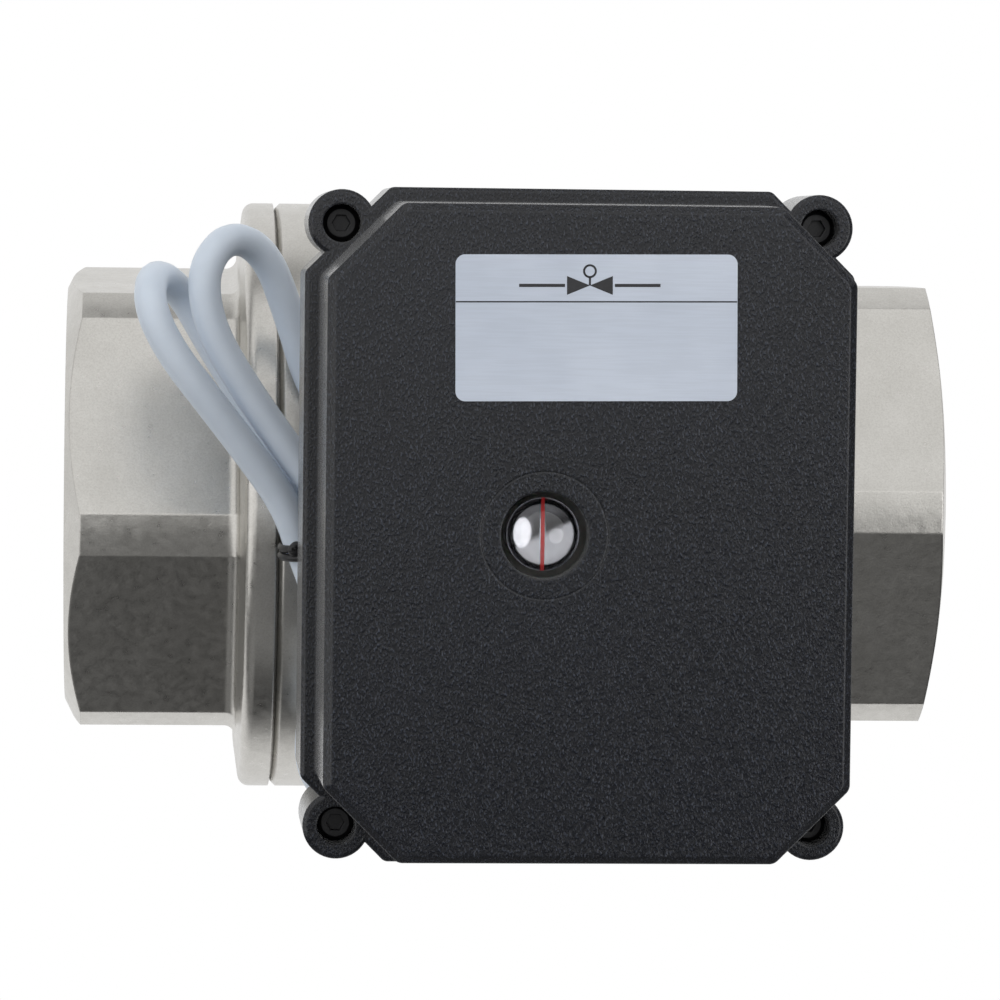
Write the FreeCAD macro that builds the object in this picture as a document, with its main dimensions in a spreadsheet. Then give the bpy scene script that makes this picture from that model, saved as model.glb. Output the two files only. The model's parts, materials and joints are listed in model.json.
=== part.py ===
"""DN50 two-piece ball valve with its quarter-turn motor actuator and a tied lead.

Millimetres. The origin is where the stem axis crosses the pipe axis. X runs along the pipe, from the
screwed end cap towards the body's own end. Z runs up the stem, from the valve into the actuator.
The valve is shown closed: the ball's port lies along Y.
"""
import FreeCAD, Part
import Sketcher
import math
import os
import re

SIZES = {
    # pipe ends
    "port_radius": 25.0,
    "thread_radius": 29.8,
    "thread_depth": 24.0,
    "flat_radius": 35.4,
    "corner_radius": 39.1,
    "cap_turn": 6.7,
    "cap_end": -70.3,
    "body_end": 70.3,
    "end_face_radius": 33.9,
    "cap_bevel": 2.6,
    "body_bevel": 1.2,
    "mouth_chamfer": 1.5,
    "mouth_flare": 3.0,
    # valve body and cap
    "barrel_radius": 48.0,
    "cap_flange": -42.6,
    "neck_rounding": 1.8,
    "flange_flat": 41.5,
    "flange_draft": 0.9,
    "flange_rounding": 1.8,
    "seam": -36.6,
    "seam_bevel": 0.8,
    "seam_gap": 0.4,
    "seam_depth": 1.6,
    "barrel_stop": 26.0,
    "shoulder": 6.0,
    "shoulder_drop": 2.0,
    "body_neck": 44.0,
    "spigot_radius": 41.9,
    "spigot_end": -27.2,
    "gasket_end": -26.0,
    "cavity_radius": 38.5,
    "cavity_stop": 22.0,
    "fit_gap": 0.05,
    # ball, seats and stem
    "ball_radius": 36.5,
    "seat_inner": 25.5,
    "seat_outer": 33.2,
    "seat_front": 19.8,
    "seat_back": 31.4,
    "seat_gap": 0.25,
    "slot_width": 9.4,
    "slot_floor": 29.0,
    "port_rounding": 0.8,
    "tang_width": 9.1,
    "stem_radius": 7.0,
    "stem_collar_radius": 10.0,
    "collar_low": 36.9,
    "collar_top": 40.2,
    "washer_top": 41.4,
    "packing_radius": 10.5,
    "packing_low": 46.0,
    "packing_top": 50.6,
    "gland_top": 55.0,
    "gland_slot": 3.0,
    "gland_slot_depth": 1.6,
    "stem_square": 9.0,
    "square_low": 54.0,
    "stem_top": 66.8,
    # mounting pad
    "pad_radius": 24.5,
    "pad_top": 57.0,
    "pad_bolt_circle": 42.0,
    "pad_root": 30.0,
    "pad_screw_radius": 2.5,
    "pad_head_radius": 4.25,
    "pad_head_tall": 4.6,
    "pad_bolt_low": 48.0,
    "pad_hole_depth": 11.0,
    # actuator housing
    "housing_shift": 6.7,
    "rim_half_x": 40.9,
    "rim_half_y": 50.1,
    "rim_leg": 12.6,
    "rim_rounding": 1.4,
    "rim_bevel": 0.5,
    "base_bevel": 0.8,
    "base_low": 63.0,
    "floor_top": 67.0,
    "wall": 2.8,
    "parting": 77.0,
    "ledge": 86.6,
    "cover_half_x": 38.3,
    "cover_half_y": 47.65,
    "cover_leg": 10.9,
    "cover_draft": 0.4,
    "cover_top": 108.7,
    "cover_roof": 2.8,
    "cover_bevel": 1.1,
    "cover_rounding": 1.8,
    "lug_x": 35.5,
    "lug_y": 44.7,
    "lug_radius": 5.0,
    "lug_low": 67.0,
    "lug_screw_radius": 1.5,
    "lug_head_radius": 2.7,
    "lug_head_tall": 2.4,
    "lug_sink_radius": 2.85,
    "lug_sink_floor": 80.2,
    "gasket_inset": 0.7,
    "gasket_width": 1.4,
    "gasket_depth": 1.0,
    # output shaft
    "shaft_radius": 9.0,
    "shaft_low": 57.4,
    "socket_width": 9.1,
    "socket_top": 67.2,
    "bush_radius": 12.0,
    "bush_collar_radius": 13.6,
    "bush_low": 57.2,
    "bush_top": 68.0,
    "hub_radius": 8.0,
    "hub_top": 80.0,
    "journal_radius": 6.0,
    "journal_top": 85.2,
    "cam_seat_radius": 5.0,
    "cam_seat_top": 97.6,
    "head_radius": 5.3,
    "head_top": 103.0,
    # cams and switches
    "cam_radius": 7.4,
    "cam_lobe_radius": 9.2,
    "cam_thick": 3.0,
    "low_cam": 86.0,
    "high_cam": 92.0,
    "roller_gap": 0.4,
    "roller_radius": 1.9,
    "switch_length": 12.8,
    "switch_depth": 6.5,
    "switch_thick": 5.8,
    "switch_pitch": 6.0,
    "switch_low": 84.6,
    "switch_face": -17.6,
    "switch_hole_back": 4.2,
    "switch_hole_side": 3.25,
    "terminal_reach": 2.6,
    "terminal_thick": 0.6,
    "terminal_pitch": 5.1,
    "lever_half_width": 1.4,
    "lever_thick": 0.4,
    "small_screw_radius": 1.0,
    "small_head_radius": 1.9,
    "small_head_tall": 1.2,
    "small_hole_radius": 1.06,
    # gear train
    "pinion_teeth": 12,
    "output_teeth": 48,
    "third_teeth": 36,
    "second_teeth": 40,
    "first_teeth": 40,
    "output_module": 1.0,
    "third_module": 0.8,
    "second_module": 0.6,
    "first_module": 0.5,
    "third_bearing": -60.0,
    "second_bearing": 50.0,
    "first_bearing": 80.0,
    "motor_bearing": 95.0,
    "output_gear_low": 69.0,
    "third_gear_low": 74.2,
    "second_gear_low": 77.1,
    "first_gear_low": 79.8,
    "output_gear_thick": 4.6,
    "wheel_thick": 2.1,
    "spindle_radius": 1.25,
    "spindle_gap": 0.04,
    # gear plate and motor
    "plate_low": 82.6,
    "plate_top": 84.4,
    "plate_left": -27.0,
    "plate_right": 41.0,
    "plate_front": -38.5,
    "plate_rear": 30.0,
    "post_radius": 3.2,
    "post_left": -22.5,
    "post_right": 37.0,
    "post_middle": 12.5,
    "post_front": -33.0,
    "post_rear": 26.5,
    "plate_corner": 4.0,
    "plate_head_radius": 2.7,
    "plate_head_tall": 1.8,
    "motor_shaft_radius": 1.0,
    "gearhead_radius": 12.2,
    "gearhead_top": 91.0,
    "motor_radius": 11.8,
    "motor_top": 102.4,
    "motor_cap_top": 104.4,
    "motor_cap_inset": 2.4,
    "motor_rounding": 1.2,
    "motor_tab_reach": 6.0,
    # control board
    "board_low": 90.0,
    "board_thick": 1.6,
    "board_left": -21.0,
    "board_right": 34.0,
    "board_front": -40.5,
    "board_rear": -12.5,
    "board_corner": 2.0,
    "board_hole_radius": 1.1,
    "standoff_radius": 2.4,
    "terminal_left": -10.0,
    "terminal_way": 3.5,
    "terminal_deep": 7.0,
    "terminal_tall": 8.0,
    "relay_left": 10.0,
    "relay_right": 22.0,
    "relay_deep": 10.5,
    "relay_tall": 9.0,
    "capacitor_x": -4.0,
    "capacitor_radius": 3.1,
    "capacitor_tall": 9.0,
    "component_back": 4.5,
    # indicator and label
    "bezel_radius": 9.2,
    "window_radius": 6.35,
    "bezel_low": 104.5,
    "disc_top": 104.0,
    "lens_base": 105.2,
    "lens_top": 108.1,
    "line_width": 0.45,
    "line_depth": 0.25,
    "label_length": 40.7,
    "label_width": 21.1,
    "label_thick": 0.15,
    "label_x": 7.1,
    "label_y": 30.0,
    "label_turn": 0.6,
    "label_rounding": 1.4,
    # lead
    "cable_radius": 2.5,
    "grommet_x": -27.0,
    "grommet_y": 12.0,
    "grommet_low": 58.0,
    "grommet_radius": 4.4,
    "grommet_neck": 3.6,
    "grommet_top": 68.4,
    "tie_width": 1.8,
    "tie_thick": 0.5,
    "tie_gap": 0.75,
    "tie_y": -6.0,
    "tie_lean": 15.0,
    "tie_knot_radius": 1.6,
    "tie_knot_shift": 1.2,
    "lead_radius": 0.65,
    "lead_length": 34.0,
}

PRESSURE_ANGLE = math.radians(20.0)
PROFILE_SHIFT = 0.3
BACKLASH = 0.16
LAST_PLACES = 6
TERMINAL_WAYS = 5
WIRE_COUNT = 5
WIRE_RING = 1.55

# The lead's corners, from the grommet to the stripped end: down out of the grommet, round the right-hand
# loop, through the tie, round a wide turn that hangs over the barrel's shoulder, back through the tie,
# round the left-hand loop, and through the tie once more to the tail that lies beside the barrel.
CABLE_ROUTE = [
    (-27.0, 12.0, 58.0),
    (-27.0, 12.0, 50.4),
    (-32.0, 19.5, 47.2),
    (-35.0, 29.5, 46.6),
    (-39.0, 40.2, 47.8),
    (-44.9, 42.9, 52.2),
    (-49.1, 37.5, 56.5),
    (-48.0, 29.0, 57.4),
    (-43.5, 21.0, 57.6),
    (-36.5, 11.0, 57.6),
    (-29.8, 2.5, 57.5),
    (-27.8, -6.0, 57.3),
    (-21.7, -18.3, 54.9),
    (-11.3, -25.9, 56.8),
    (3.5, -31.7, 47.9),
    (5.1, -42.3, 36.2),
    (-5.2, -51.6, 29.0),
    (-20.2, -52.4, 29.1),
    (-31.2, -43.3, 34.7),
    (-31.1, -31.9, 45.3),
    (-28.4, -16.2, 50.4),
    (-33.3, -6.0, 51.9),
    (-33.7, 1.5, 52.1),
    (-37.5, 9.5, 51.6),
    (-42.5, 18.0, 49.6),
    (-47.6, 26.0, 46.6),
    (-52.3, 34.3, 45.6),
    (-56.6, 37.0, 52.4),
    (-57.2, 31.9, 59.3),
    (-53.8, 24.8, 60.2),
    (-47.6, 17.0, 60.0),
    (-41.2, 8.8, 59.2),
    (-35.9, 1.5, 58.2),
    (-33.2, -6.0, 57.3),
    (-29.6, -15.5, 57.4),
    (-26.5, -26.5, 56.8),
    (-19.5, -36.5, 55.0),
    (-9.5, -42.5, 52.0),
    (1.5, -44.0, 48.0),
    (11.0, -42.5, 44.0),
    (19.5, -40.5, 41.0),
]

doc = FreeCAD.newDocument("motorised_ball_valve")
sheet = doc.addObject("Spreadsheet::Sheet", "Sizes")
for row, (alias, size) in enumerate(SIZES.items(), start=1):
    sheet.set(f"A{row}", alias)
    sheet.set(f"B{row}", str(size))
    sheet.setAlias(f"B{row}", alias)
doc.recompute()

ALIASES = re.compile(r"\b(" + "|".join(SIZES) + r")\b")
X_AXIS = FreeCAD.Vector(1, 0, 0)
Y_AXIS = FreeCAD.Vector(0, 1, 0)
Z_AXIS = FreeCAD.Vector(0, 0, 1)
ALONG_X = FreeCAD.Rotation(Y_AXIS, 90)
ALONG_Y = FreeCAD.Rotation(X_AXIS, -90)
UPRIGHT = FreeCAD.Rotation()
pieces = []


def linked(formula):
    """A formula written with the sheet's words, as an expression that reads them from the sheet."""
    return ALIASES.sub(r"Sizes.\1", str(formula))


def value(formula):
    """What such a formula comes to."""
    return float(eval_formula(linked(formula)))


def eval_formula(expression):
    result = sheet.evalExpression(expression)
    return getattr(result, "Value", result)


def bind(thing, **formulas):
    """Tie properties of an object to formulas."""
    for name, formula in formulas.items():
        thing.setExpression(name, linked(formula))
    return thing


def place(thing, x=0, y=0, z=0, turn=UPRIGHT):
    """Turn an object, then tie its position to formulas."""
    thing.Placement.Rotation = turn
    for axis, formula in zip("xyz", (x, y, z)):
        thing.setExpression(f".Placement.Base.{axis}", linked(formula))
    return thing


def box(length, width, height, x=0, y=0, z=0):
    """A block centred on x and y, standing on z."""
    thing = bind(doc.addObject("Part::Box", "block"), Length=length, Width=width, Height=height)
    return place(thing, f"({x}) - ({length}) / 2", f"({y}) - ({width}) / 2", z)


def span(x_low, x_high, y_low, y_high, z_low, z_high):
    """A block between two corners."""
    thing = bind(
        doc.addObject("Part::Box", "block"),
        Length=f"({x_high}) - ({x_low})",
        Width=f"({y_high}) - ({y_low})",
        Height=f"({z_high}) - ({z_low})",
    )
    return place(thing, x_low, y_low, z_low)


def cylinder(radius, low, high, x=0, y=0, turn=UPRIGHT):
    """A round bar: along Z from low to high at x, y, or along X from low to high when turned."""
    thing = bind(doc.addObject("Part::Cylinder", "round"), Radius=radius, Height=f"({high}) - ({low})")
    if turn == UPRIGHT:
        return place(thing, x, y, low)
    return place(thing, low, x, y, turn)


def sphere(radius, z=0):
    return place(bind(doc.addObject("Part::Sphere", "ball"), Radius=radius), z=z)


def fuse(*things):
    joined = doc.addObject("Part::MultiFuse", "joined")
    joined.Shapes = list(things)
    joined.Refine = True
    return joined


def cut(base, *tools):
    result = doc.addObject("Part::Cut", "cut")
    result.Base = base
    result.Tool = tools[0] if len(tools) == 1 else fuse(*tools)
    result.Refine = True
    return result


def common(first, second):
    result = doc.addObject("Part::MultiCommon", "shared")
    result.Shapes = [first, second]
    return result


def ring(outer, inner, low, high, x=0, y=0, turn=UPRIGHT):
    """A tube whose bore runs right through."""
    return cut(
        cylinder(outer, low, high, x, y, turn),
        cylinder(inner, f"({low}) - 1", f"({high}) + 1", x, y, turn),
    )


def group(things):
    compound = doc.addObject("Part::Compound", "group")
    compound.Links = list(things)
    return compound


def piece(name, thing):
    """Name a finished sub-part. Its label is the name of its file."""
    thing.Label = name
    pieces.append(thing)
    return thing


def feature(name, shape):
    """A sub-part whose shape comes from curves that the other tools can't draw."""
    thing = doc.addObject("Part::Feature", name)
    thing.Shape = shape
    return piece(name, thing)


def edges_where(thing, wanted):
    """The numbers of an object's edges that pass a test, for a fillet or chamfer."""
    doc.recompute()
    return [n for n, edge in enumerate(thing.Shape.Edges, start=1) if wanted(edge)]


def rounded(thing, radius, wanted):
    """Round chosen edges."""
    size = value(radius)
    result = doc.addObject("Part::Fillet", "rounded")
    result.Base = thing
    result.Edges = [(n, size, size) for n in edges_where(thing, wanted)]
    return result


def bevelled(thing, leg, wanted):
    """Chamfer chosen edges."""
    size = value(leg)
    result = doc.addObject("Part::Chamfer", "bevelled")
    result.Base = thing
    result.Edges = [(n, size, size) for n in edges_where(thing, wanted)]
    return result


def flat_at(axis, place_on_axis, tolerance=1e-4):
    """A test for edges that lie in the plane across an axis at a place."""

    def wanted(edge):
        bounds = edge.BoundBox
        low, high = getattr(bounds, axis + "Min"), getattr(bounds, axis + "Max")
        return abs(low - place_on_axis) < tolerance and abs(high - place_on_axis) < tolerance

    return wanted


def body_plane(body, role):
    return next(plane for plane in body.Origin.OriginFeatures if plane.Role == role)


def blank_sketch(body, name, role, lift):
    sketch = body.newObject("Sketcher::SketchObject", name)
    sketch.AttachmentSupport = [(body_plane(body, role), "")]
    sketch.MapMode = "FlatFace"
    sketch.setExpression(".AttachmentOffset.Base.z", linked(lift))
    return sketch


def outline(body, name, role, corners, lift=0):
    """A closed straight-sided sketch in a body, each corner tied to a pair of formulas."""
    sketch = blank_sketch(body, name, role, lift)
    spots = [FreeCAD.Vector(value(u), value(v), 0) for u, v in corners]
    for start, stop in zip(spots, spots[1:] + spots[:1]):
        sketch.addGeometry(Part.LineSegment(start, stop))
    count = len(spots)
    for n in range(count):
        sketch.addConstraint(Sketcher.Constraint("Coincident", n, 2, (n + 1) % count, 1))
    for n, ((u, v), spot) in enumerate(zip(corners, spots)):
        for kind, formula, size in (("DistanceX", u, spot.x), ("DistanceY", v, spot.y)):
            index = sketch.addConstraint(Sketcher.Constraint(kind, -1, 1, n, 1, size))
            sketch.setExpression(f"Constraints[{index}]", linked(formula))
    return sketch


def rounded_outline(body, name, role, corners, rounding, lift=0):
    """Such a sketch with an arc at each corner: arc n lies between lines n - 1 and n."""
    sketch = blank_sketch(body, name, role, lift)
    radius = value(rounding)
    spots = [FreeCAD.Vector(value(u), value(v), 0) for u, v in corners]
    count = len(spots)
    lines = []
    arcs = []
    for before, spot, after in zip(spots[-1:] + spots[:-1], spots, spots[1:] + spots[:1]):
        back = (before - spot).normalize()
        ahead = (after - spot).normalize()
        half_turn = (math.pi - back.getAngle(ahead)) / 2
        setback = radius * math.tan(half_turn)
        centre = spot + (back + ahead).normalize() * (radius / math.cos(half_turn))
        start = spot + back * setback
        stop = spot + ahead * setback
        angles = [math.atan2(end.y - centre.y, end.x - centre.x) for end in (start, stop)]
        arcs.append(Part.ArcOfCircle(Part.Circle(centre, Z_AXIS, radius), *angles))
        lines.append((start, stop))
    for (_, start), (stop, _) in zip(lines, lines[1:] + lines[:1]):
        sketch.addGeometry(Part.LineSegment(start, stop))
    for arc in arcs:
        sketch.addGeometry(arc)
    for spot in spots:
        sketch.addGeometry(Part.Point(spot), True)
    for n, ((u, v), spot) in enumerate(zip(corners, spots)):
        line, before, arc, point = n, (n - 1) % count, count + n, 2 * count + n
        sketch.addConstraint(Sketcher.Constraint("Tangent", before, 2, arc, 1))
        sketch.addConstraint(Sketcher.Constraint("Tangent", arc, 2, line, 1))
        sketch.addConstraint(Sketcher.Constraint("PointOnObject", point, 1, before))
        sketch.addConstraint(Sketcher.Constraint("PointOnObject", point, 1, line))
        for kind, formula, size in (("DistanceX", u, spot.x), ("DistanceY", v, spot.y)):
            index = sketch.addConstraint(Sketcher.Constraint(kind, -1, 1, point, 1, size))
            sketch.setExpression(f"Constraints[{index}]", linked(formula))
        index = sketch.addConstraint(Sketcher.Constraint("Radius", arc, radius))
        sketch.setExpression(f"Constraints[{index}]", linked(rounding))
    return sketch


def turned(name, corners):
    """A body of revolution about the pipe axis, from (x, radius) corners."""
    body = doc.addObject("PartDesign::Body", name)
    profile = outline(body, name + "_profile", "XY_Plane", corners)
    turning = body.newObject("PartDesign::Revolution", name + "_turning")
    turning.Profile = profile
    turning.ReferenceAxis = (profile, ["H_Axis"])
    turning.Angle = 360.0
    body.Tip = turning
    return body


def upright_turned(name, corners):
    """A body of revolution about the stem axis, from (radius, z) corners."""
    body = doc.addObject("PartDesign::Body", name)
    profile = outline(body, name + "_profile", "XZ_Plane", corners)
    turning = body.newObject("PartDesign::Revolution", name + "_turning")
    turning.Profile = profile
    turning.ReferenceAxis = (profile, ["V_Axis"])
    turning.Angle = 360.0
    body.Tip = turning
    return body


def octagon(half_x, half_y, leg, inset="0"):
    """The housing's outline: a rectangle with its corners cut off, moved in by an inset."""
    side = f"(({half_x}) - ({inset}))"
    end = f"(({half_y}) - ({inset}))"
    corner = f"(({leg}) - 0.586 * ({inset}))"
    quarter = [(side, f"{end} - {corner}"), (f"{side} - {corner}", end)]
    corners = []
    for x_sign, y_sign, order in ((1, 1, 1), (-1, 1, -1), (-1, -1, 1), (1, -1, -1)):
        for u, v in quarter[::order]:
            corners.append((f"housing_shift + {x_sign} * ({u})", f"{y_sign} * ({v})"))
    return corners


def prism(name, corners, low, high):
    """A padded outline between two heights."""
    body = doc.addObject("PartDesign::Body", name)
    sketch = outline(body, name + "_outline", "XY_Plane", corners, low)
    pad = body.newObject("PartDesign::Pad", name + "_pad")
    pad.Profile = sketch
    bind(pad, Length=f"({high}) - ({low})")
    body.Tip = pad
    return body


def tapered_prism(name, low_corners, high_corners, rounding, low, high):
    """A loft between two outlines with rounded corners, for a moulded wall with draft."""
    body = doc.addObject("PartDesign::Body", name)
    foot = rounded_outline(body, name + "_foot", "XY_Plane", low_corners, rounding, low)
    head = rounded_outline(body, name + "_head", "XY_Plane", high_corners, rounding, high)
    loft = body.newObject("PartDesign::AdditiveLoft", name + "_loft")
    loft.Profile = foot
    loft.Sections = [head]
    loft.Ruled = True
    body.Tip = loft
    return body


# ---------------------------------------------------------------- valve


def hexagon_bar(start, stop, turn_angle):
    """A six-sided bar along the pipe."""
    bar = doc.addObject("Part::Prism", "hexagon_bar")
    bind(bar, Circumradius="flat_radius / 0.8660254", Height=f"({stop}) - ({start})")
    bar.Polygon = 6
    return place(bar, start, turn=FreeCAD.Rotation(X_AXIS, turn_angle).multiply(ALONG_X))


def pipe_end(name, end, root, bevel, turn_angle, sense):
    """A hexagonal pipe end: its corners are turned down to round, and its end face is bevelled."""
    blank = turned(
        name,
        [
            (root, 0),
            (root, "corner_radius"),
            (f"({end}) + {sense} * {bevel}", "corner_radius"),
            (end, "end_face_radius"),
            (end, 0),
        ],
    )
    low, high = sorted((f"({end}) - {sense}", root), key=value)
    return common(blank, hexagon_bar(low, high, turn_angle))


def waterway(name, end, pocket_stop, sense):
    """The bore from a pipe end: thread, port and the pocket behind the ball that holds a seat."""
    return turned(
        name,
        [
            (f"({end}) - {sense}", 0),
            (f"({end}) - {sense}", "thread_radius + mouth_chamfer + 1"),
            (f"({end}) + {sense} * mouth_chamfer", "thread_radius"),
            (f"({end}) + {sense} * thread_depth", "thread_radius"),
            (f"({end}) + {sense} * (thread_depth + mouth_flare)", "port_radius"),
            (f"-{sense} * seat_back", "port_radius"),
            (f"-{sense} * seat_back", "seat_outer + fit_gap"),
            (pocket_stop, "seat_outer + fit_gap"),
            (pocket_stop, 0),
        ],
    )


def end_cap():
    flange = turned(
        "cap_flange_blank",
        [
            ("cap_flange", 0),
            ("cap_flange", "flange_flat"),
            ("cap_flange + flange_draft", "barrel_radius"),
            ("seam - seam_gap", "barrel_radius"),
            ("seam - seam_gap", "barrel_radius - seam_depth"),
            ("seam", "barrel_radius - seam_depth"),
            ("seam", "spigot_radius"),
            ("spigot_end", "spigot_radius"),
            ("spigot_end", 0),
        ],
    )
    end = pipe_end("cap_hexagon", "cap_end", "cap_flange + 1", "cap_bevel", value("cap_turn"), 1)
    outer = value("flange_flat") - 0.5
    at_flange = flat_at("X", value("cap_flange"))
    at_corner = flat_at("X", value("cap_flange + flange_draft"))
    shaped = rounded(fuse(end, flange), "neck_rounding", lambda e: at_flange(e) and not far_out(e, outer))
    shaped = rounded(shaped, "flange_rounding", at_corner)
    piece("end_cap", cut(shaped, waterway("cap_waterway", "cap_end", "spigot_end + 1", 1)))


def far_out(edge, radius):
    """Whether an edge lies outside a radius from the pipe axis."""
    middle = edge.valueAt((edge.FirstParameter + edge.LastParameter) / 2)
    return math.hypot(middle.y, middle.z) > radius


def valve_body():
    barrel = turned(
        "barrel_blank",
        [
            ("seam", 0),
            ("seam", "barrel_radius - seam_bevel"),
            ("seam + seam_bevel", "barrel_radius"),
            ("barrel_stop", "barrel_radius"),
            ("barrel_stop + shoulder", "barrel_radius - shoulder_drop"),
            ("body_neck", "flat_radius"),
            ("body_neck", 0),
        ],
    )
    cavity = turned(
        "ball_cavity",
        [
            ("seam - 1", 0),
            ("seam - 1", "spigot_radius + fit_gap"),
            ("gasket_end", "spigot_radius + fit_gap"),
            ("gasket_end", "cavity_radius"),
            ("cavity_stop", "cavity_radius"),
            ("cavity_stop", 0),
        ],
    )
    end = pipe_end("body_hexagon", "body_end", "barrel_stop + shoulder", "body_bevel", 0, -1)
    pad = cylinder("pad_radius", "pad_root", "pad_top")
    bored = cut(
        fuse(barrel, end, pad),
        cavity,
        waterway("body_waterway", "body_end", "cavity_stop - 1", -1),
        cylinder("stem_radius + fit_gap", "pad_root", "packing_low + 1"),
        cylinder("stem_collar_radius + fit_gap", "pad_root", "washer_top"),
        cylinder("packing_radius + 0.01", "packing_low", "pad_top + 1"),
        *[
            cylinder("pad_screw_radius + fit_gap", "pad_top - pad_hole_depth", "pad_top + 1", x, y)
            for x, y in pad_bolt_spots()
        ],
    )
    piece("valve_body", bored)


def pad_bolt_spots():
    reach = "pad_bolt_circle * 0.3535534"
    return [(f"{i} * {reach}", f"{j} * {reach}") for i in (-1, 1) for j in (-1, 1)]


def ball():
    port = bind(doc.addObject("Part::Cylinder", "port"), Radius="port_radius", Height=100)
    blank = cut(
        sphere("ball_radius"),
        place(port, y=-50, turn=ALONG_Y),
        box(30, "slot_width", 20, z="slot_floor"),
    )
    mouth = math.sqrt(value("ball_radius") ** 2 - value("port_radius") ** 2)
    at_rear = flat_at("Y", mouth)
    at_front = flat_at("Y", -mouth)
    piece("valve_ball", rounded(blank, "port_rounding", lambda e: at_rear(e) or at_front(e)))


def seat(name, sense):
    low, high = sorted((f"{sense} * seat_front", f"{sense} * seat_back"), key=value)
    blank = ring("seat_outer", "seat_inner", low, high, turn=ALONG_X)
    piece(name, cut(blank, sphere("ball_radius + seat_gap")))


def body_gasket():
    blank = ring("spigot_radius - 0.1", "cavity_radius", "spigot_end", "gasket_end", turn=ALONG_X)
    piece("body_gasket", blank)


def stem():
    shaft = upright_turned(
        "stem_blank",
        [
            (0, "slot_floor + 0.4"),
            ("stem_collar_radius - 0.6", "slot_floor + 0.4"),
            ("stem_collar_radius", "slot_floor + 1.0"),
            ("stem_collar_radius", "collar_top - 0.1"),
            ("stem_radius", "collar_top - 0.1"),
            ("stem_radius", "stem_top - 0.8"),
            ("stem_radius - 0.8", "stem_top"),
            (0, "stem_top"),
        ],
    )
    flats = []
    for side in (-1, 1):
        beside_tang = f"{side} * (10 + tang_width / 2)"
        beside_square = f"{side} * (10 + stem_square / 2)"
        flats.append(box(30, 20, "collar_low - slot_floor + 1", 0, beside_tang, "slot_floor - 1"))
        flats.append(box(20, 20, "stem_top - square_low + 1", beside_square, 0, "square_low"))
        flats.append(box(20, 20, "stem_top - square_low + 1", 0, beside_square, "square_low"))
    piece("valve_stem", cut(shaft, *flats))


def stem_seals():
    bore = "stem_radius + fit_gap"
    piece("thrust_washer", ring("stem_collar_radius", bore, "collar_top", "washer_top"))
    piece("stem_packing", ring("packing_radius", bore, "packing_low", "packing_top"))
    nut = cut(
        ring("packing_radius", bore, "packing_top", "gland_top"),
        box(30, "gland_slot", 5, z="gland_top - gland_slot_depth"),
    )
    piece("gland_nut", nut)


# ---------------------------------------------------------------- actuator housing


def lug_spots():
    return [(f"housing_shift + {i} * lug_x", f"{j} * lug_y") for i in (-1, 1) for j in (-1, 1)]


def post_spots():
    return [
        ("post_left", "post_front"),
        ("post_right", "post_front"),
        ("post_left", "post_rear"),
        ("post_middle", "post_rear"),
    ]


def actuator_base():
    rim = octagon("rim_half_x", "rim_half_y", "rim_leg")
    inside = octagon("rim_half_x", "rim_half_y", "rim_leg", "wall")
    groove_out = octagon("rim_half_x", "rim_half_y", "rim_leg", "gasket_inset")
    groove_in = octagon("rim_half_x", "rim_half_y", "rim_leg", "gasket_inset + gasket_width")
    shell = cut(
        fuse(
            rounded(prism("base_block", rim, "base_low", "parting"), "rim_rounding", upright),
            *[cylinder("lug_radius", "lug_low", "parting", x, y) for x, y in lug_spots()],
        ),
        prism("base_hollow", inside, "floor_top", "parting + 1"),
    )
    shell = bevelled(shell, "base_bevel", flat_at("Z", value("base_low")))
    boss = cylinder("pad_radius", "pad_top", "floor_top")
    posts = [cylinder("post_radius", "base_low + 1", "plate_low", x, y) for x, y in post_spots()]
    groove = cut(
        prism("groove_outer", groove_out, "parting - gasket_depth", "parting + 1"),
        prism("groove_inner", groove_in, "parting - gasket_depth - 1", "parting + 2"),
    )
    holes = [
        cylinder("bush_radius + 0.02", "pad_top - 1", "floor_top + 1"),
        cylinder("grommet_neck", "base_low - 1", "floor_top + 1", "grommet_x", "grommet_y"),
        groove,
    ]
    for x, y in pad_bolt_spots():
        holes.append(cylinder("pad_screw_radius + 0.1", "pad_top - 1", "floor_top", x, y))
        holes.append(cylinder("pad_screw_radius + 2.1", "base_low", "floor_top + 1", x, y))
    for x, y in lug_spots():
        holes.append(cylinder("lug_screw_radius + fit_gap", "lug_low - 1", "parting + 1", x, y))
    for x, y in post_spots():
        holes.append(cylinder("lug_screw_radius + fit_gap", "plate_low - 8", "plate_low + 1", x, y))
    for x, y in spindle_spots():
        holes.append(cylinder("spindle_radius + 0.01", "floor_top - 2.5", "floor_top + 1", x, y))
    piece("actuator_base", cut(fuse(shell, boss, *posts), *holes))


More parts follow.
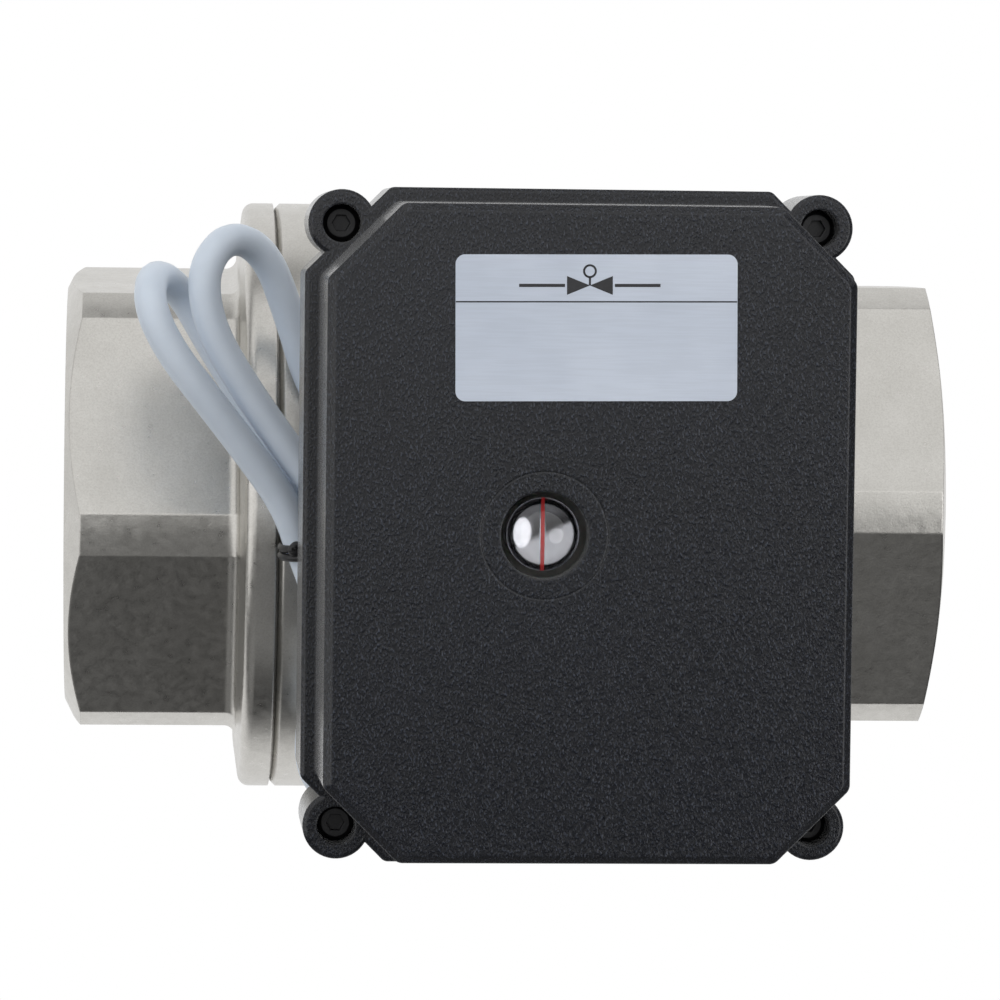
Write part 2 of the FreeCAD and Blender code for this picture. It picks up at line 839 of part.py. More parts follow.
def actuator_cover():
    rim = octagon("rim_half_x", "rim_half_y", "rim_leg")
    foot = octagon("cover_half_x", "cover_half_y", "cover_leg", "-cover_draft")
    head = octagon("cover_half_x", "cover_half_y", "cover_leg")
    skirt_inside = octagon("rim_half_x", "rim_half_y", "rim_leg", "wall")
    cap_inside = octagon("cover_half_x", "cover_half_y", "cover_leg", "wall")
    skirt = fuse(
        rounded(prism("cover_skirt", rim, "parting", "ledge"), "rim_rounding", upright),
        *[cylinder("lug_radius", "parting", "ledge", x, y) for x, y in lug_spots()],
    )
    skirt = bevelled(skirt, "rim_bevel", flat_at("Z", value("ledge")))
    crown = octagon("cover_half_x", "cover_half_y", "cover_leg", "cover_bevel")
    shoulder = "cover_top - cover_bevel"
    cap = tapered_prism("cover_cap", foot, head, "cover_rounding", "ledge", shoulder)
    edge = tapered_prism("cover_edge", head, crown, "cover_rounding", shoulder, "cover_top")
    holes = [
        prism("skirt_hollow", skirt_inside, "parting - 1", "ledge - wall"),
        prism("cap_hollow", cap_inside, "ledge - wall - 1", "cover_top - cover_roof"),
        cylinder("bezel_radius + fit_gap", "cover_top - 10", "cover_top + 1"),
    ]
    for x, y in lug_spots():
        holes.append(cylinder("lug_screw_radius + 0.15", "parting - 1", "ledge + 1", x, y))
        holes.append(cylinder("lug_sink_radius", "lug_sink_floor", "ledge + 1", x, y))
    bezel_rest = cut(
        cylinder("bezel_radius + 1.6", "bezel_low - 1.2", "cover_top - 1"),
        cylinder("window_radius + 0.4", "bezel_low - 3", "cover_top"),
        cylinder("bezel_radius + fit_gap", "bezel_low", "cover_top"),
    )
    piece("actuator_cover", fuse(cut(fuse(skirt, cap, edge), *holes), bezel_rest))


def cover_gasket():
    outer = octagon("rim_half_x", "rim_half_y", "rim_leg", "gasket_inset + 0.05")
    inner = octagon("rim_half_x", "rim_half_y", "rim_leg", "gasket_inset + gasket_width - 0.05")
    band = cut(
        prism("gasket_outer", outer, "parting - gasket_depth", "parting"),
        prism("gasket_inner", inner, "parting - gasket_depth - 1", "parting + 1"),
    )
    piece("cover_gasket", band)


def socket_screw(radius, head_radius, head_tall, low, seat_at, x, y):
    """A round-headed screw with a hexagon socket, standing upright."""
    head = cylinder(head_radius, seat_at, f"({seat_at}) + ({head_tall})", x, y)
    head = bevelled(head, f"{head_tall} / 4", flat_at("Z", value(f"({seat_at}) + ({head_tall})")))
    shank = cylinder(radius, low, seat_at, x, y)
    socket = bind(
        doc.addObject("Part::Prism", "socket"),
        Circumradius=f"({head_radius}) * 0.5",
        Height=f"({head_tall}) * 0.6",
    )
    socket.Polygon = 6
    place(socket, x, y, f"({seat_at}) + ({head_tall}) * 0.45")
    return cut(fuse(head, shank), socket)


def screws():
    sets = (
        ("cover_screws", "lug_screw_radius", "lug_head", "lug_low + 1", "lug_sink_floor", lug_spots()),
        ("mounting_screws", "pad_screw_radius", "pad_head", "pad_bolt_low", "base_low", pad_bolt_spots()),
        ("gear_plate_screws", "lug_screw_radius", "plate_head", "plate_low - 6", "plate_top", post_spots()),
    )
    for name, radius, head, low, seat_at, spots in sets:
        sizes = (radius, head + "_radius", head + "_tall", low, seat_at)
        piece(name, group([socket_screw(*sizes, x, y) for x, y in spots]))


# ---------------------------------------------------------------- output shaft


def output_shaft():
    blank = upright_turned(
        "shaft_blank",
        [
            (0, "shaft_low"),
            ("shaft_radius", "shaft_low"),
            ("shaft_radius", "bush_top + 0.6"),
            ("hub_radius", "bush_top + 0.6"),
            ("hub_radius", "hub_top"),
            ("journal_radius", "hub_top"),
            ("journal_radius", "journal_top"),
            ("cam_seat_radius", "journal_top"),
            ("cam_seat_radius", "cam_seat_top"),
            ("head_radius", "cam_seat_top"),
            ("head_radius", "head_top"),
            (0, "head_top"),
        ],
    )
    socket = box("socket_width", "socket_width", "socket_top - shaft_low + 1", 0, 0, "shaft_low - 1")
    flat = box(4, 20, "cam_seat_top - journal_top", "cam_seat_radius + 1.2", 0, "journal_top")
    piece("output_shaft", cut(blank, socket, flat))


def bushes():
    bore = "shaft_radius + fit_gap"
    lower = fuse(
        ring("bush_radius", bore, "bush_low", "floor_top"),
        ring("bush_collar_radius", bore, "floor_top", "bush_top"),
    )
    piece("lower_bush", lower)
    bore = "journal_radius + fit_gap"
    upper = fuse(
        ring("journal_radius + 2", bore, "plate_low - 1.6", "plate_top"),
        ring("journal_radius + 3.2", bore, "plate_low - 1.6", "plate_low"),
    )
    piece("upper_bush", upper)


def cam(name, low, lobe_angle):
    """A disc with a raised lobe that works one limit switch."""
    high = f"({low}) + cam_thick"
    disc = cylinder("cam_radius", low, high)
    lobe = cut(
        cylinder("cam_lobe_radius", low, high),
        box(40, 40, "cam_thick + 2", 20 - 4, 0, f"({low}) - 1"),
    )
    lobe.Placement = FreeCAD.Placement(FreeCAD.Vector(), FreeCAD.Rotation(Z_AXIS, lobe_angle))
    bore = cut(
        cylinder("cam_seat_radius + 0.02", f"({low}) - 1", f"{high} + 1"),
        box(4, 20, "cam_thick + 4", "cam_seat_radius + 1.22", 0, f"({low}) - 2"),
    )
    piece(name, cut(fuse(disc, lobe), bore))


def limit_switch(name, level):
    """A roller-lever microswitch lying on its side, its roller facing the cam."""
    low = f"switch_low + {level} * switch_pitch"
    high = f"{low} + switch_thick"
    back = "switch_face - switch_depth"
    case = span(back, "switch_face", "-switch_length / 2", "switch_length / 2", low, high)
    terminals = []
    for number in (-1, 0, 1):
        side = f"{number} * terminal_pitch - terminal_thick / 2"
        other_side = f"{side} + terminal_thick"
        blade = span(f"{back} - terminal_reach", back, side, other_side, f"{low} + 1.4", f"{high} - 1.4")
        terminals.append(blade)
    holes = [cylinder("small_hole_radius", f"{low} - 1", f"{high} + 1", x, y) for x, y in switch_spots()]
    piece(name, cut(fuse(case, *terminals), *holes))


def switch_spots():
    return [("switch_face - switch_hole_back", f"{side} * switch_hole_side") for side in (-1, 1)]


def lever_set():
    """Both switches' roller levers, held in as the lobe holds them."""
    levers = []
    for level in (0, 1):
        middle = f"switch_low + {level} * switch_pitch + switch_thick / 2"
        low = f"{middle} - lever_half_width"
        high = f"{middle} + lever_half_width"
        roller_x = "-(cam_lobe_radius + roller_gap + roller_radius)"
        end = "-switch_length / 2"
        inside = "switch_face + 2 * lever_thick"
        outside = "switch_face + 3 * lever_thick"
        hinge = span("switch_face", outside, end, f"{end} + 3 * lever_thick", low, high)
        arm = span(inside, outside, end, "roller_radius", low, high)
        yoke = span(inside, roller_x, "-lever_thick", "lever_thick", low, high)
        roller = cylinder("roller_radius", low, high, roller_x)
        levers.append(fuse(hinge, arm, yoke, roller))
    piece("switch_levers", group(levers))


def switch_screws():
    top = "switch_low + switch_pitch + switch_thick"
    set_of_two = [small_screw("plate_low + 0.2", top, x, y) for x, y in switch_spots()]
    piece("switch_screws", group(set_of_two))


def small_screw(low, seat_at, x, y):
    return socket_screw("small_screw_radius", "small_head_radius", "small_head_tall", low, seat_at, x, y)


# ---------------------------------------------------------------- gears


def stage_centres():
    """Where each gear's spindle stands, stage by stage back from the output shaft to the motor."""
    stages = (
        ("third", "output_module", "output_teeth", "third_bearing"),
        ("second", "third_module", "third_teeth", "second_bearing"),
        ("first", "second_module", "second_teeth", "first_bearing"),
        ("motor", "first_module", "first_teeth", "motor_bearing"),
    )
    x, y = 0.0, 0.0
    centres = {}
    for name, module, teeth, bearing in stages:
        reach = value(f"{module} * ({teeth} + pinion_teeth) / 2")
        angle = math.radians(value(bearing))
        x += reach * math.cos(angle)
        y += reach * math.sin(angle)
        centres[name] = (round(x, LAST_PLACES), round(y, LAST_PLACES))
    return centres


def spindle_spots():
    centres = stage_centres()
    return [centres[name] for name in ("third", "second", "first")]


def involute(angle):
    return math.tan(angle) - angle


def gear_outline(teeth, module, shift, facing):
    """A spur gear's outline with involute flanks, one tooth centred on the facing angle."""
    pitch = module * teeth / 2
    base = pitch * math.cos(PRESSURE_ANGLE)
    tip = pitch + module * (1 + shift) - 0.05 * module
    root = pitch - module * (1.25 - shift)
    half_pitch = (math.pi / 2 + 2 * shift * math.tan(PRESSURE_ANGLE)) / teeth
    half_pitch -= BACKLASH * module / (2 * pitch)
    start = max(base, root)

    def half_angle(radius):
        return half_pitch + involute(PRESSURE_ANGLE) - involute(math.acos(min(1.0, base / radius)))

    def spot(radius, angle):
        return FreeCAD.Vector(radius * math.cos(angle), radius * math.sin(angle), 0)

    middle = (start + tip) / 2
    edges = []
    step = 2 * math.pi / teeth
    for number in range(teeth):
        centre = math.radians(facing) + number * step
        rise = [spot(r, centre - half_angle(r)) for r in (start, middle, tip)]
        fall = [spot(r, centre + half_angle(r)) for r in (tip, middle, start)]
        foot = spot(root, centre - half_angle(start))
        toe = spot(root, centre + half_angle(start))
        next_foot = spot(root, centre + step - half_angle(start))
        if root < start:
            edges.append(Part.LineSegment(foot, rise[0]))
        edges.append(Part.Arc(*rise))
        edges.append(Part.Arc(rise[2], spot(tip, centre), fall[0]))
        edges.append(Part.Arc(*fall))
        if root < start:
            edges.append(Part.LineSegment(fall[2], toe))
        edges.append(Part.Arc(toe, spot(root, centre + step / 2), next_foot))
    return Part.Wire([edge.toShape() for edge in edges])


def gear_blank(teeth, module, shift, facing, centre, low, high):
    face = Part.Face(gear_outline(teeth, module, shift, facing))
    blank = face.extrude(FreeCAD.Vector(0, 0, high - low))
    blank.translate(FreeCAD.Vector(centre[0], centre[1], low))
    return blank


def round_bar(radius, centre, low, high):
    return Part.makeCylinder(radius, high - low, FreeCAD.Vector(centre[0], centre[1], low))


def output_gear():
    low = value("output_gear_low")
    high = low + value("output_gear_thick")
    teeth = int(value("output_teeth"))
    facing = value("third_bearing") + 180 / teeth
    centre = (0.0, 0.0)
    blank = gear_blank(teeth, value("output_module"), -PROFILE_SHIFT, facing, centre, low, high)
    web = round_bar(value("output_module * output_teeth / 2 - 3.4"), centre, high - 1.2, high + 1)
    web = web.cut(round_bar(value("hub_radius + 3"), centre, high - 2, high + 2))
    blank = blank.cut(web).cut(round_bar(value("hub_radius") + 0.01, centre, low - 1, high + 1))
    feature("output_gear", blank)


def compound_gear(name, wheel, pinion, centre, wheel_facing, pinion_facing, wheel_low, pinion_low):
    """A wheel with a smaller pinion below it, turning together on a spindle."""
    wheel_teeth, wheel_module = wheel
    pinion_teeth, pinion_module = pinion
    wheel_high = wheel_low + value("wheel_thick")
    upper = gear_blank(wheel_teeth, wheel_module, -PROFILE_SHIFT, wheel_facing, centre, wheel_low, wheel_high)
    lower = gear_blank(pinion_teeth, pinion_module, PROFILE_SHIFT, pinion_facing, centre, pinion_low, wheel_low)
    bore = round_bar(value("spindle_radius + spindle_gap"), centre, pinion_low - 1, wheel_high + 1)
    feature(name, upper.fuse(lower).cut(bore).removeSplitter())


def gear_train():
    """Three compound gears and the motor's pinion, each tooth facing the gap it meets."""
    centres = stage_centres()
    pinion_teeth = int(value("pinion_teeth"))
    chain = (
        ("third", "output", "second", "output_gear_low - 0.2"),
        ("second", "third", "first", "third_gear_low - 0.1"),
        ("first", "second", "motor", "second_gear_low - 0.1"),
    )
    for stage, driven, driver, pinion_low in chain:
        teeth = int(value(stage + "_teeth"))
        compound_gear(
            stage + "_gear",
            (teeth, value(stage + "_module")),
            (pinion_teeth, value(driven + "_module")),
            centres[stage],
            value(driver + "_bearing") + 180 / teeth,
            value(stage + "_bearing") + 180,
            value(stage + "_gear_low"),
            value(pinion_low),
        )
    low = value("first_gear_low - 0.1")
    high = value("plate_low - 0.3")
    facing = value("motor_bearing") + 180
    pinion = gear_blank(pinion_teeth, value("first_module"), PROFILE_SHIFT, facing, centres["motor"], low, high)
    shaft = round_bar(value("motor_shaft_radius"), centres["motor"], high - 0.1, value("plate_top + 3"))
    feature("motor_pinion", pinion.fuse(shaft).removeSplitter())


def spindles():
    bars = [cylinder("spindle_radius", "floor_top - 2.5", "plate_top", x, y) for x, y in spindle_spots()]
    piece("gear_spindles", group(bars))


def gear_plate():
    blank = span("plate_left", "plate_right", "plate_front", "plate_rear", "plate_low", "plate_top")
    blank = bevelled(blank, "plate_corner", upright)
    drilled = [
        ("journal_radius + 2.01", [(0, 0)]),
        ("lug_screw_radius + 0.15", post_spots()),
        ("spindle_radius + 0.01", spindle_spots()),
        ("small_hole_radius", switch_spots()),
    ]
    holes = [
        cylinder(radius, "plate_low - 1", "plate_top + 1", x, y) for radius, spots in drilled for x, y in spots
    ]
    motor_x, motor_y = stage_centres()["motor"]
    holes.append(cylinder("motor_shaft_radius + 0.5", "plate_low - 1", "plate_top + 1", motor_x, motor_y))
    piece("gear_plate", cut(blank, *holes))


def upright(edge):
    """Whether an edge runs straight up."""
    bounds = edge.BoundBox
    return bounds.ZLength > 0.5 and bounds.XLength < 1e-4 and bounds.YLength < 1e-4


def motor():
    x, y = stage_centres()["motor"]
    gearhead = cylinder("gearhead_radius", "plate_top", "gearhead_top", x, y)
    bore = cylinder("motor_shaft_radius + spindle_gap", "plate_top - 1", "plate_top + 3.2", x, y)
    piece("motor_gearhead", cut(gearhead, bore))
    can = cylinder("motor_radius", "gearhead_top", "motor_top", x, y)
    piece("motor_can", rounded(can, "motor_rounding", flat_at("Z", value("motor_top"))))
    boss = cylinder("motor_radius - motor_cap_inset", "motor_top", "motor_cap_top", x, y)
    tabs = [box(1.2, 0.5, 0.8, f"{x} + {side} * motor_tab_reach", y, "motor_cap_top") for side in (-1, 1)]
    piece("motor_end_cap", fuse(boss, *tabs))


# ---------------------------------------------------------------- control board


def board_spots():
    front = "board_front + component_back"
    rear = "board_rear - board_corner - 1.5"
    return [(-12, front), (26, front), ("board_left + 4", rear), ("board_right - 4", rear)]


def control_board():
    top = "board_low + board_thick"
    blank = span("board_left", "board_right", "board_front", "board_rear", "board_low", top)
    blank = bevelled(blank, "board_corner", upright)
    holes = [cylinder("board_hole_radius", "board_low - 1", "board_low + 4", x, y) for x, y in board_spots()]
    piece("control_board", cut(blank, *holes))
    inner = "board_hole_radius - 0.05"
    posts = [ring("standoff_radius", inner, "plate_top", "board_low", x, y) for x, y in board_spots()]
    piece("board_standoffs", group(posts))
    piece("board_screws", group([small_screw("board_low - 3", top, x, y) for x, y in board_spots()]))
    terminal_block(top)
    rear = "board_rear - component_back"
    relay = span("relay_left", "relay_right", f"{rear} - relay_deep", rear, top, f"{top} + relay_tall")
    piece("relay", bevelled(relay, 0.5, upright))
    can_top = f"{top} + capacitor_tall"
    can = cylinder("capacitor_radius", top, can_top, "capacitor_x", f"{rear} - 3.5")
    piece("capacitor", rounded(can, 0.6, flat_at("Z", value(can_top))))


def terminal_block(top):
    """A row of screw terminals at the board's front edge: screw wells above, wire mouths in front."""
    front = "board_front + 1"
    right = f"terminal_left + {TERMINAL_WAYS} * terminal_way"
    high = f"{top} + terminal_tall"
    block = span("terminal_left", right, front, f"{front} + terminal_deep", top, high)
    openings = []
    for number in range(TERMINAL_WAYS):
        x = f"terminal_left + {number + 0.5} * terminal_way"
        well_y = f"{front} + terminal_deep / 2"
        openings.append(cylinder("board_hole_radius", f"{high} - 4", f"{high} + 1", x, well_y))
        openings.append(box(2.2, 3, 2.4, x, f"{front} + 0.5", f"{top} + 1"))
    piece("terminal_block", cut(bevelled(block, 0.3, upright), *openings))


# ---------------------------------------------------------------- indicator and label


def indicator():
    piece("indicator_bezel", ring("bezel_radius", "window_radius", "bezel_low", "cover_top"))
    disc = cylinder("head_radius", "head_top", "disc_top")
    groove = box("line_width", "2 * head_radius + 1", 1, z="disc_top - line_depth")
    piece("indicator_disc", cut(disc, groove))
    line = common(
        cylinder("head_radius", "disc_top - line_depth", "disc_top"),
        box("line_width", "2 * head_radius + 1", 1, z="disc_top - line_depth"),
    )
    piece("indicator_line", line)
    rise = "(lens_top - lens_base)"
    dome = f"(head_radius * head_radius + {rise} * {rise}) / (2 * {rise})"
    lens = common(cylinder("head_radius", "disc_top", "lens_top + 1"), sphere(dome, f"lens_top - {dome}"))
    piece("indicator_lens", lens)


def label():
    plate = box("label_length", "label_width", "label_thick")
    plate = rounded(plate, "label_rounding", lambda e: abs(e.Length - value("label_thick")) < 1e-4)
    place(plate, "label_x", "label_y", "cover_top", FreeCAD.Rotation(Z_AXIS, value("label_turn")))
    piece("label", plate)


# ---------------------------------------------------------------- lead


def grommet():
    body = fuse(
        cylinder("grommet_radius", "grommet_low", "base_low", "grommet_x", "grommet_y"),
        cylinder("grommet_neck - 0.02", "base_low", "floor_top", "grommet_x", "grommet_y"),
        cylinder("grommet_radius", "floor_top", "grommet_top", "grommet_x", "grommet_y"),
    )
    piece("cable_grommet", rounded(body, 0.8, flat_at("Z", value("grommet_low"))))


def smooth_path(corners):
    """Straight runs joined by tangent arcs, each arc as large as its two runs allow."""
    spots = [FreeCAD.Vector(*corner) for corner in corners]
    edges = []
    radii = []
    here = spots[0]
    for before, at, after in zip(spots, spots[1:], spots[2:]):
        come = at - before
        go = after - at
        shorter = min(come.Length, go.Length)
        turn = come.getAngle(go)
        setback = 0.45 * shorter
        radii.append(setback / math.tan(turn / 2))
        come.normalize()
        go.normalize()
        start = at - come * setback
        stop = at + go * setback
        centre_way = go - come
        centre_way.normalize()
        sagitta = radii[-1] / math.cos(turn / 2) - radii[-1]
        edges.append(Part.LineSegment(here, start).toShape())
        edges.append(Part.Arc(start, at + centre_way * sagitta, stop).toShape())
        here = stop
    edges.append(Part.LineSegment(here, spots[-1]).toShape())
    return Part.Wire(edges), radii


def tube_along(corners, radius):
    path, radii = smooth_path(corners)
    start = FreeCAD.Vector(*corners[0])
    way = FreeCAD.Vector(*corners[1]) - start
    mouth = Part.Wire([Part.Circle(start, way, radius).toShape()])
    tube = path.makePipeShell([mouth], True, False)
    expected = math.pi * radius * radius * path.Length
    print("tube length", round(path.Length, 1), "tightest radii", [round(r, 1) for r in sorted(radii)[:6]])
    print("tube volume", round(tube.Volume, 1), "section times length", round(expected, 1))
    return tube


def lead():
    feature("cable", tube_along(CABLE_ROUTE, value("cable_radius")))
    end = FreeCAD.Vector(*CABLE_ROUTE[-1])
    way = end - FreeCAD.Vector(*CABLE_ROUTE[-2])
    way.normalize()
    side = way.cross(Z_AXIS)
    side.normalize()
    up = side.cross(way)
    length = value("lead_length")
    wires = []
    for number in range(WIRE_COUNT):
        angle = 2 * math.pi * number / WIRE_COUNT
        outward = side * math.cos(angle) + up * math.sin(angle)
        root = end + outward * WIRE_RING
        knee = root + way * (0.3 * length)
        spread = knee + way * (0.35 * length) + outward * (2.2 + 0.5 * number)
        tip = spread + way * (0.33 * length - 1.1 * number) + outward * 0.6
        wires.append(tube_along([root, knee, spread, tip], value("lead_radius")))
    feature("lead_wires", Part.makeCompound(wires))


def tie():
    """A band pulled round the three runs of cable where they lie together, with its twisted end as a knot."""
    at_y = value("tie_y")
    crossings = [corner for corner in CABLE_ROUTE if corner[1] == at_y]
    centre_x = sum(corner[0] for corner in crossings) / len(crossings)
    centre_z = sum(corner[2] for corner in crossings) / len(crossings)
    around = sorted(crossings, key=lambda c: math.atan2(c[2] - centre_z, c[0] - centre_x))
    inner = value("cable_radius + tie_gap")
    outer = inner + value("tie_thick")
    width = value("tie_width")
    band = hull(around, outer, width).cut(hull(around, inner, width + 2))
    knot_at = min(crossings, key=lambda c: c[0] - c[2])
    knot_radius = value("tie_knot_radius")
    knot_y = at_y + value("tie_knot_shift")
    knot_centre = FreeCAD.Vector(knot_at[0] - 0.4 * outer, knot_y, knot_at[2] + 0.8 * outer)
    knot = Part.makeSphere(knot_radius, knot_centre)
    band = band.fuse(knot.cut(hull(around, inner + 0.2, 3 * width)))
    band.rotate(FreeCAD.Vector(centre_x, at_y, centre_z), Z_AXIS, value("tie_lean"))
    feature("cable_tie", band)


def hull(corners, radius, width):
    """A thick plate across Y whose outline wraps circles at the corners."""
    front = FreeCAD.Vector(0, corners[0][1] - width / 2, 0)
    deep = FreeCAD.Vector(0, width, 0)
    spots = [FreeCAD.Vector(x, 0, z) + front for x, _, z in corners]
    shape = Part.Face(Part.makePolygon(spots + spots[:1])).extrude(deep)
    for spot, following in zip(spots, spots[1:] + spots[:1]):
        shape = shape.fuse(Part.makeCylinder(radius, width, spot, Y_AXIS))
        across = (following - spot).cross(Y_AXIS).normalize() * radius
        side = [spot - across, following - across, following + across, spot + across]
        shape = shape.fuse(Part.Face(Part.makePolygon(side + side[:1])).extrude(deep))
    return shape.removeSplitter()


# ---------------------------------------------------------------- build and write

valve_body()
end_cap()
ball()
seat("cap_side_seat", -1)
seat("body_side_seat", 1)
body_gasket()
stem()
stem_seals()
actuator_base()
actuator_cover()
cover_gasket()
screws()
output_shaft()
bushes()
cam("closed_cam", "low_cam", 0)
cam("open_cam", "high_cam", -90)
limit_switch("closed_switch", 0)
limit_switch("open_switch", 1)
lever_set()
switch_screws()
output_gear()
gear_train()
spindles()
gear_plate()
motor()
control_board()
indicator()
label()
grommet()
lead()
tie()
doc.recompute()

for thing in doc.Objects:
    if "Invalid" in thing.State or "Error" in thing.State:
        raise RuntimeError(f"{thing.Label} failed to build: {thing.State}")
os.makedirs("parts", exist_ok=True)
for thing in pieces:
    shape = thing.Shape
    if shape.isNull() or not shape.isValid() or not shape.Solids:
        raise RuntimeError(f"{thing.Label} has no valid solid")
    shape.exportStep(f"parts/{thing.Label}.step")
print(len(pieces), "parts written")
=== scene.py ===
"""Looks of the motorised ball valve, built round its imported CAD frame, in metres."""
import json
import math

import bmesh
import bpy
from mathutils import Matrix, Vector


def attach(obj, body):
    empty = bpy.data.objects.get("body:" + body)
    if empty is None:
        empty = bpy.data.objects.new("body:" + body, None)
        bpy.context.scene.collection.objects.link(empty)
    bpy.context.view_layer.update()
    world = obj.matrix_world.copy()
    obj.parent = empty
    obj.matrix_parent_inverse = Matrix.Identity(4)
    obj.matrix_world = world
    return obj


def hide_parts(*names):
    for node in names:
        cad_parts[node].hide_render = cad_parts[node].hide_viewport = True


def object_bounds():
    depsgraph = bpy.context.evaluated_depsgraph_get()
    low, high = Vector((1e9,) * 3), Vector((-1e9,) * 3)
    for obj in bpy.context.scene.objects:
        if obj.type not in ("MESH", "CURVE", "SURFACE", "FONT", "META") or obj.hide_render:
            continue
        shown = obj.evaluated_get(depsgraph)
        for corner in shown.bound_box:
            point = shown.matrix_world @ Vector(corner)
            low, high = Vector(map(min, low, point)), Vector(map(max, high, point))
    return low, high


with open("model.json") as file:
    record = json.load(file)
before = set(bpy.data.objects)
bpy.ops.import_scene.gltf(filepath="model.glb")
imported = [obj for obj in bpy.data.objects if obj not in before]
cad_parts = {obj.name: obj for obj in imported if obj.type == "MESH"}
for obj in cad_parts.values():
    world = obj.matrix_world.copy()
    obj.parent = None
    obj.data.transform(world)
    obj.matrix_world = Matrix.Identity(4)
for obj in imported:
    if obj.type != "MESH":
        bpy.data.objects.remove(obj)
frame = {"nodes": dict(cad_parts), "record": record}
CAD_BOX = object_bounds()

MM = 0.001
FIXED = "fixed_assembly"


def mm(*numbers):
    """Millimetres to a point in metres."""
    return Vector(numbers) * MM


# ------------------------------------------------------------------ camera

CAMERA_AT = mm(-57.7, 42.6, 826.0)
LOOKS_ALONG = Vector((0.07104, -0.0521, -0.99611))
CAMERA_ROLL = -0.012
LENS = 180.1
SENSOR = 36.0
NEAREST, FARTHEST = 0.01, 20.0


def add_camera():
    """A long lens high over the stem, a little to the end cap's side."""
    data = bpy.data.cameras.new("camera")
    data.lens = LENS
    data.sensor_width = SENSOR
    data.clip_start = NEAREST
    data.clip_end = FARTHEST
    camera = bpy.data.objects.new("camera", data)
    bpy.context.collection.objects.link(camera)
    up = Vector((math.sin(CAMERA_ROLL), math.cos(CAMERA_ROLL), 0.0))
    right = LOOKS_ALONG.cross(up).normalized()
    true_up = right.cross(LOOKS_ALONG).normalized()
    turn = Matrix((right, true_up, -LOOKS_ALONG.normalized())).transposed()
    camera.matrix_world = Matrix.Translation(CAMERA_AT) @ turn.to_4x4()
    bpy.context.scene.camera = camera


add_camera()
bpy.context.scene.view_settings.view_transform = "Standard"

# ------------------------------------------------------------------ node materials


BEVEL_SAMPLES = 6
NOISE_LOW, NOISE_HIGH = 0.3, 0.7


class Nodes:
    """A node material being built: a Principled shader and the textures that feed it."""

    def __init__(self, name, metallic=0.0, **sockets):
        self.material = bpy.data.materials.new(name)
        self.material.use_nodes = True
        self.tree = self.material.node_tree
        self.shader = self.tree.nodes["Principled BSDF"]
        self.shader.inputs["Metallic"].default_value = metallic
        for socket, number in sockets.items():
            title = socket.replace("_", " ").title().replace("Ior", "IOR")
            self.shader.inputs[title].default_value = number
        self.place = self.tree.nodes.new("ShaderNodeTexCoord").outputs["Object"]

    def link(self, output, target):
        """Join an output to an input."""
        self.tree.links.new(output, target)

    def mapped(self, stretch, turn=(0.0, 0.0, 0.0)):
        """Coordinates squeezed and turned, for streaks."""
        node = self.tree.nodes.new("ShaderNodeMapping")
        node.inputs["Scale"].default_value = stretch
        node.inputs["Rotation"].default_value = turn
        self.link(self.place, node.inputs["Vector"])
        return node.outputs["Vector"]

    def noise(self, size, detail=2.0, rough=0.5, place=None):
        """Noise whose features are about size metres across."""
        node = self.tree.nodes.new("ShaderNodeTexNoise")
        node.inputs["Scale"].default_value = 1.0 / size
        node.inputs["Detail"].default_value = detail
        node.inputs["Roughness"].default_value = rough
        self.link(place or self.place, node.inputs["Vector"])
        return node.outputs["Fac"]

    def ramp(self, source, *stops):
        """A colour ramp from (position, colour) stops."""
        node = self.tree.nodes.new("ShaderNodeValToRGB")
        band = node.color_ramp
        while len(band.elements) < len(stops):
            band.elements.new(0.5)
        for element, (position, colour) in zip(band.elements, stops):
            element.position = position
            element.color = (*colour, 1.0)
        self.link(source, node.inputs["Fac"])
        return node.outputs["Color"]

    def spread(self, source, low, high):
        """A noise's usual range laid over low to high."""
        node = self.tree.nodes.new("ShaderNodeMapRange")
        node.inputs["From Min"].default_value = NOISE_LOW
        node.inputs["From Max"].default_value = NOISE_HIGH
        node.inputs["To Min"].default_value = low
        node.inputs["To Max"].default_value = high
        self.link(source, node.inputs["Value"])
        return node.outputs["Result"]

    def maths(self, operation, first, second):
        """Two terms, each an output or a number, put through a sum."""
        node = self.tree.nodes.new("ShaderNodeMath")
        node.operation = operation
        for socket, term in zip(node.inputs, (first, second)):
            if isinstance(term, (int, float)):
                socket.default_value = term
            else:
                self.link(term, socket)
        return node.outputs["Value"]

    def blend(self, factor, first, second, kind="MIX"):
        """Two colours mixed; each term is an output, a number or a colour."""
        node = self.tree.nodes.new("ShaderNodeMix")
        node.data_type = "RGBA"
        node.blend_type = kind
        sockets = [s for s in node.inputs if s.enabled]
        for socket, term in zip(sockets, (factor, first, second)):
            if isinstance(term, (int, float)):
                socket.default_value = term
            elif isinstance(term, tuple):
                socket.default_value = (*term, 1.0)
            else:
                self.link(term, socket)
        return [s for s in node.outputs if s.enabled][0]

    def colour(self, source):
        """Feed the base colour."""
        self.link(source, self.shader.inputs["Base Color"])

    def rough(self, source):
        """Feed the roughness."""
        self.link(source, self.shader.inputs["Roughness"])

    def bump(self, *heights, edge=0.0):
        """Bumps over worn edges: each is (height, depth in metres, strength)."""
        normal = None
        if edge:
            node = self.tree.nodes.new("ShaderNodeBevel")
            node.samples = BEVEL_SAMPLES
            node.inputs["Radius"].default_value = edge
            normal = node.outputs["Normal"]
        for height, depth, strength in heights:
            node = self.tree.nodes.new("ShaderNodeBump")
            node.inputs["Distance"].default_value = depth
            node.inputs["Strength"].default_value = strength
            self.link(height, node.inputs["Height"])
            if normal is not None:
                self.link(normal, node.inputs["Normal"])
            normal = node.outputs["Normal"]
        self.link(normal, self.shader.inputs["Normal"])


